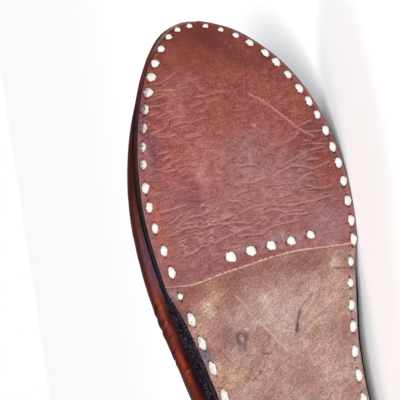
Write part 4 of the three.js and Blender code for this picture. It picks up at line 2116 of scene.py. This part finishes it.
    def build_binding(self, finish: PlainLeather) -> Piece:
        """Makes the strip that is folded over the collar.

        Args:
            finish: Its leather.

        Returns:
            The piece.
        """
        ring = self.last.even_ring(self.binding_steps)
        fine = self.rows(ring, np.linspace(self.binding_from, 1, self.binding_rows))
        normals = self.outward(fine)
        steps = np.linalg.norm(np.diff(fine, axis=0), axis=-1)
        below = np.concatenate([np.cumsum(steps[::-1], axis=0)[::-1], np.zeros((1, ring.count))])
        up = fine[-1] - fine[-self.binding_lip]
        up /= np.linalg.norm(up, axis=-1, keepdims=True)
        middle = fine - normals * self.last.wall / 2

        def at(depth: float) -> Pair:
            """The wall's middle and outward direction at a depth below the collar."""
            picks = (np.abs(below - depth).argmin(axis=0), np.arange(ring.count))
            return middle[picks], normals[picks]

        inner = self.last.wall / 2 + self.binding_gap
        outer = inner + self.binding_leather
        crown = self.last.gap + self.binding_leather
        around = ring.from_toe * ring.side
        pucker = self.pucker * self.grain.at(around, around * 0, self.pucker_size)
        loops = []
        for side in (1, -1):
            legs = []
            for depth, swell in self.binding_legs:
                place, out = at(depth)
                legs.append(place + out * (side * (outer + swell + pucker))[:, None])
            place, out = at(0.0)
            for angle in self.binding_fold:
                reach, rise = outer * math.cos(angle), crown * math.sin(angle)
                legs.append(place + out * side * reach + up * rise)
            loops.append(legs)
        hem = self.binding_legs[0][0]
        under = []
        for side, depth in ((-1, hem), (-1, 0.0), (1, 0.0), (1, hem)):
            place, out = at(depth)
            rise = 0.0 if depth else self.last.gap
            under.append(place + out * side * inner + up * rise)
        rounds = np.array(loops[0] + loops[1][::-1] + under)
        skin = Skin(self.last)
        numbers = skin.add(rounds)
        skin.quads(np.concatenate([numbers, numbers[:1]]), closed=True)
        return seat(skin.piece("collar_strip", finish.material()), "collar_binding")


@dataclass
class Footbed:
    """The insole: a tan sheet inside, pressed by the foot."""

    last: Last
    columns: int = 60
    steps: int = 220
    arris: float = 0.7
    press_depth: float = 0.5
    # where heel and ball press, and their reach along and across
    presses: tuple[tuple[float, float, float], ...] = ((42, 30, 22), (215, 34, 36))

    def dress(self, inner: Array, rims: Pair) -> tuple[Array, Masks]:
        """Presses heel and ball into the sheet and darkens them.

        Args:
            inner: The sheet's points.
            rims: Distances from its two rims, which it doesn't need.

        Returns:
            The moved points and their masks.
        """
        inner = inner.copy()
        x, y = inner[..., 0], inner[..., 1]
        pressed = np.zeros(x.shape)
        for at, along, across in self.presses:
            far = ((x - at) / along) ** 2 + (y / across) ** 2
            pressed = np.maximum(pressed, np.exp(-(far**2)))
        inner[..., 2] -= self.press_depth * pressed
        return inner, {Paint.DARK: 0.8 * pressed}

    def build(self, finish: PlainLeather, sole: Sole) -> Piece:
        """Makes the insole.

        Args:
            finish: Its leather.
            sole: The sole, whose way of filling a sheet it shares.

        Returns:
            The piece.
        """
        last, skin = self.last, Skin(self.last)
        ring = last.even_ring(self.steps)
        inset = last.ledge + last.wall + last.insole_clearance
        bottom = last.sole_top(ring.x)
        rise = last.gap + last.insole
        levels = ((0.0, 0.0), (0.0, rise - self.arris), (0.2, rise - 0.2), (self.arris, rise))
        rows, numbers = [], []
        for more, lift in levels:
            reach = inset + more
            rows.append(np.c_[ring.x - ring.out_x * reach, ring.y - ring.out_y * reach, bottom + lift])
            numbers.append(skin.add(rows[-1]))
        skin.quads(np.array(numbers), closed=True)
        sole.fill(skin, numbers[0], rows[0], sole.plain_columns)
        sole.fill(skin, numbers[-1], rows[-1], self.columns, self.dress)
        return seat(skin.piece("footbed", finish.material()), "insole")


@dataclass
class Studio:
    """Plain pale floor, soft light and the camera at the photograph's angle to the shoe."""

    last: Last
    tilt: float = 14.57
    roll: float = 13.977
    focal_pixels: float = 1032.17
    aim: Point = (213.79, -23.27)
    distance: float = 480.0
    sensor: float = 36.0
    clip: Point = (0.01, 300.0)
    floor_half: float = 60.0
    floor_colour: Colour = (0.9, 0.9, 0.89, 1.0)
    sky: Colour = (0.38, 0.38, 0.4, 1.0)
    white: Colour = (1.0, 1.0, 1.0, 1.0)
    key: float = 4.8
    key_spread: float = 28.0
    key_place: Place = (-0.1, -0.85, 0.42)
    key_target: Place = (0.0, 0.0, 0.0)
    strip: float = 2.0
    strip_size: Point = (0.45, 0.12)
    strip_colour: Place = (0.92, 0.9, 1.0)
    strip_place: Place = (-0.05, 0.36, 0.9)
    strip_target: Place = (0.05, 0.0, 0.09)

    def build_floor(self) -> None:
        """Lays the floor."""
        shader = Shader.of("pale_floor")
        dust = shader.noise(shader.node("ShaderNodeTexCoord", {}, {}, "Object"), 0.4, 2.0)
        material = shader.leather(
            {
                "Base Color": self.floor_colour,
                "Roughness": 0.75 + 0.1 * dust,
                "Specular IOR Level": 0.2,
            }
        )
        half = self.floor_half
        mesh = bpy.data.meshes.new("floor")
        corners = [(-half, -half, 0), (half, -half, 0), (half, half, 0), (-half, half, 0)]
        mesh.from_pydata(corners, [], [(0, 1, 2, 3)])
        mesh.materials.append(material)
        floor = bpy.data.objects.new("floor", mesh)
        bpy.context.scene.collection.objects.link(floor)

    def build_light(self) -> None:
        """Sets a dim sky that is white behind the shoe, a soft key and a strip for the gloss."""
        world = bpy.data.worlds.new("studio")
        bpy.context.scene.world = world
        sky = Shader(world)
        way = sky.node("ShaderNodeTexCoord", {}, {}, "Generated")
        back = sky.rise(sky.node("ShaderNodeSeparateXYZ", {}, {0: way}, "Y"), 0.2, 0.6)
        high = sky.rise(sky.node("ShaderNodeSeparateXYZ", {}, {0: way}, "Z"), 0.15, 0.4)
        colour = sky.mix(back * (1 - high), self.sky, self.white)
        sky.end(sky.node("ShaderNodeBackground", {}, {"Color": colour}), "ShaderNodeOutputWorld")
        key = bpy.data.lights.new("key", "SUN")
        key.energy = self.key
        key.angle = math.radians(self.key_spread)
        self.hang(key, self.key_place, self.key_target)
        strip = bpy.data.lights.new("strip", "AREA")
        strip.shape = "RECTANGLE"
        strip.size, strip.size_y = self.strip_size
        strip.energy = self.strip
        strip.color = self.strip_colour
        self.hang(strip, self.strip_place, self.strip_target)

    def hang(self, light: bpy.types.Light, place: Sequence[float], target: Sequence[float]) -> None:
        """Places a light and points it.

        Args:
            light: The light.
            place: Where it is, in metres.
            target: What it points at.
        """
        lamp = bpy.data.objects.new(light.name, light)
        lamp.location = place
        lamp.rotation_euler = (Vector(target) - Vector(place)).to_track_quat("-Z", "Y").to_euler()
        bpy.context.scene.collection.objects.link(lamp)

    def build_camera(self) -> None:
        """Sets the camera, rolled as the photograph is."""
        tilt, roll = math.radians(self.tilt), math.radians(self.roll)
        back = np.array([0, -math.sin(tilt), -math.cos(tilt)])
        toe = np.array([1.0, 0, 0])
        right = np.cross(toe, back)
        image_up = toe * math.cos(roll) + right * math.sin(roll)
        image_right = right * math.cos(roll) - toe * math.sin(roll)
        place = np.array([*self.aim, 0.0]) + self.distance * back
        axes = (self.last.turn @ np.stack([image_right, image_up, back], axis=1)).tolist()
        lens = bpy.data.cameras.new("camera")
        lens.sensor_width = self.sensor
        lens.lens = self.focal_pixels / IMAGE_SIZE * self.sensor
        lens.clip_start, lens.clip_end = self.clip
        camera = bpy.data.objects.new("camera", lens)
        camera.matrix_world = Matrix.Translation(self.last.lay(place)) @ Matrix(axes).to_4x4()
        bpy.context.scene.collection.objects.link(camera)
        bpy.context.scene.camera = camera

    def build(self) -> None:
        """Sets up the whole studio."""
        bpy.context.scene.view_settings.view_transform = "Standard"
        self.build_floor()
        self.build_light()
        self.build_camera()


def main() -> None:
    """Builds the khussa piece by piece."""
    logging.basicConfig(level=logging.INFO, format="%(message)s")
    last = Last()
    Studio(last).build()

    edge = BlackEdge()
    sewing = Sewing(last)
    sewing.plan()
    sole = Sole(last, sewing)
    sole.build_midsole(edge)
    sole.build_outsole(RearTread(edge))
    sole.build_half_sole(FrontTread(edge))
    sewing.build(CordFinish())

    upper = Upper(last)
    upper.build_upper(UpperLeather())
    upper.build_binding(BINDING_LEATHER)
    Footbed(last).build(FOOTBED_LEATHER, sole)


if __name__ == "__main__":
    main()
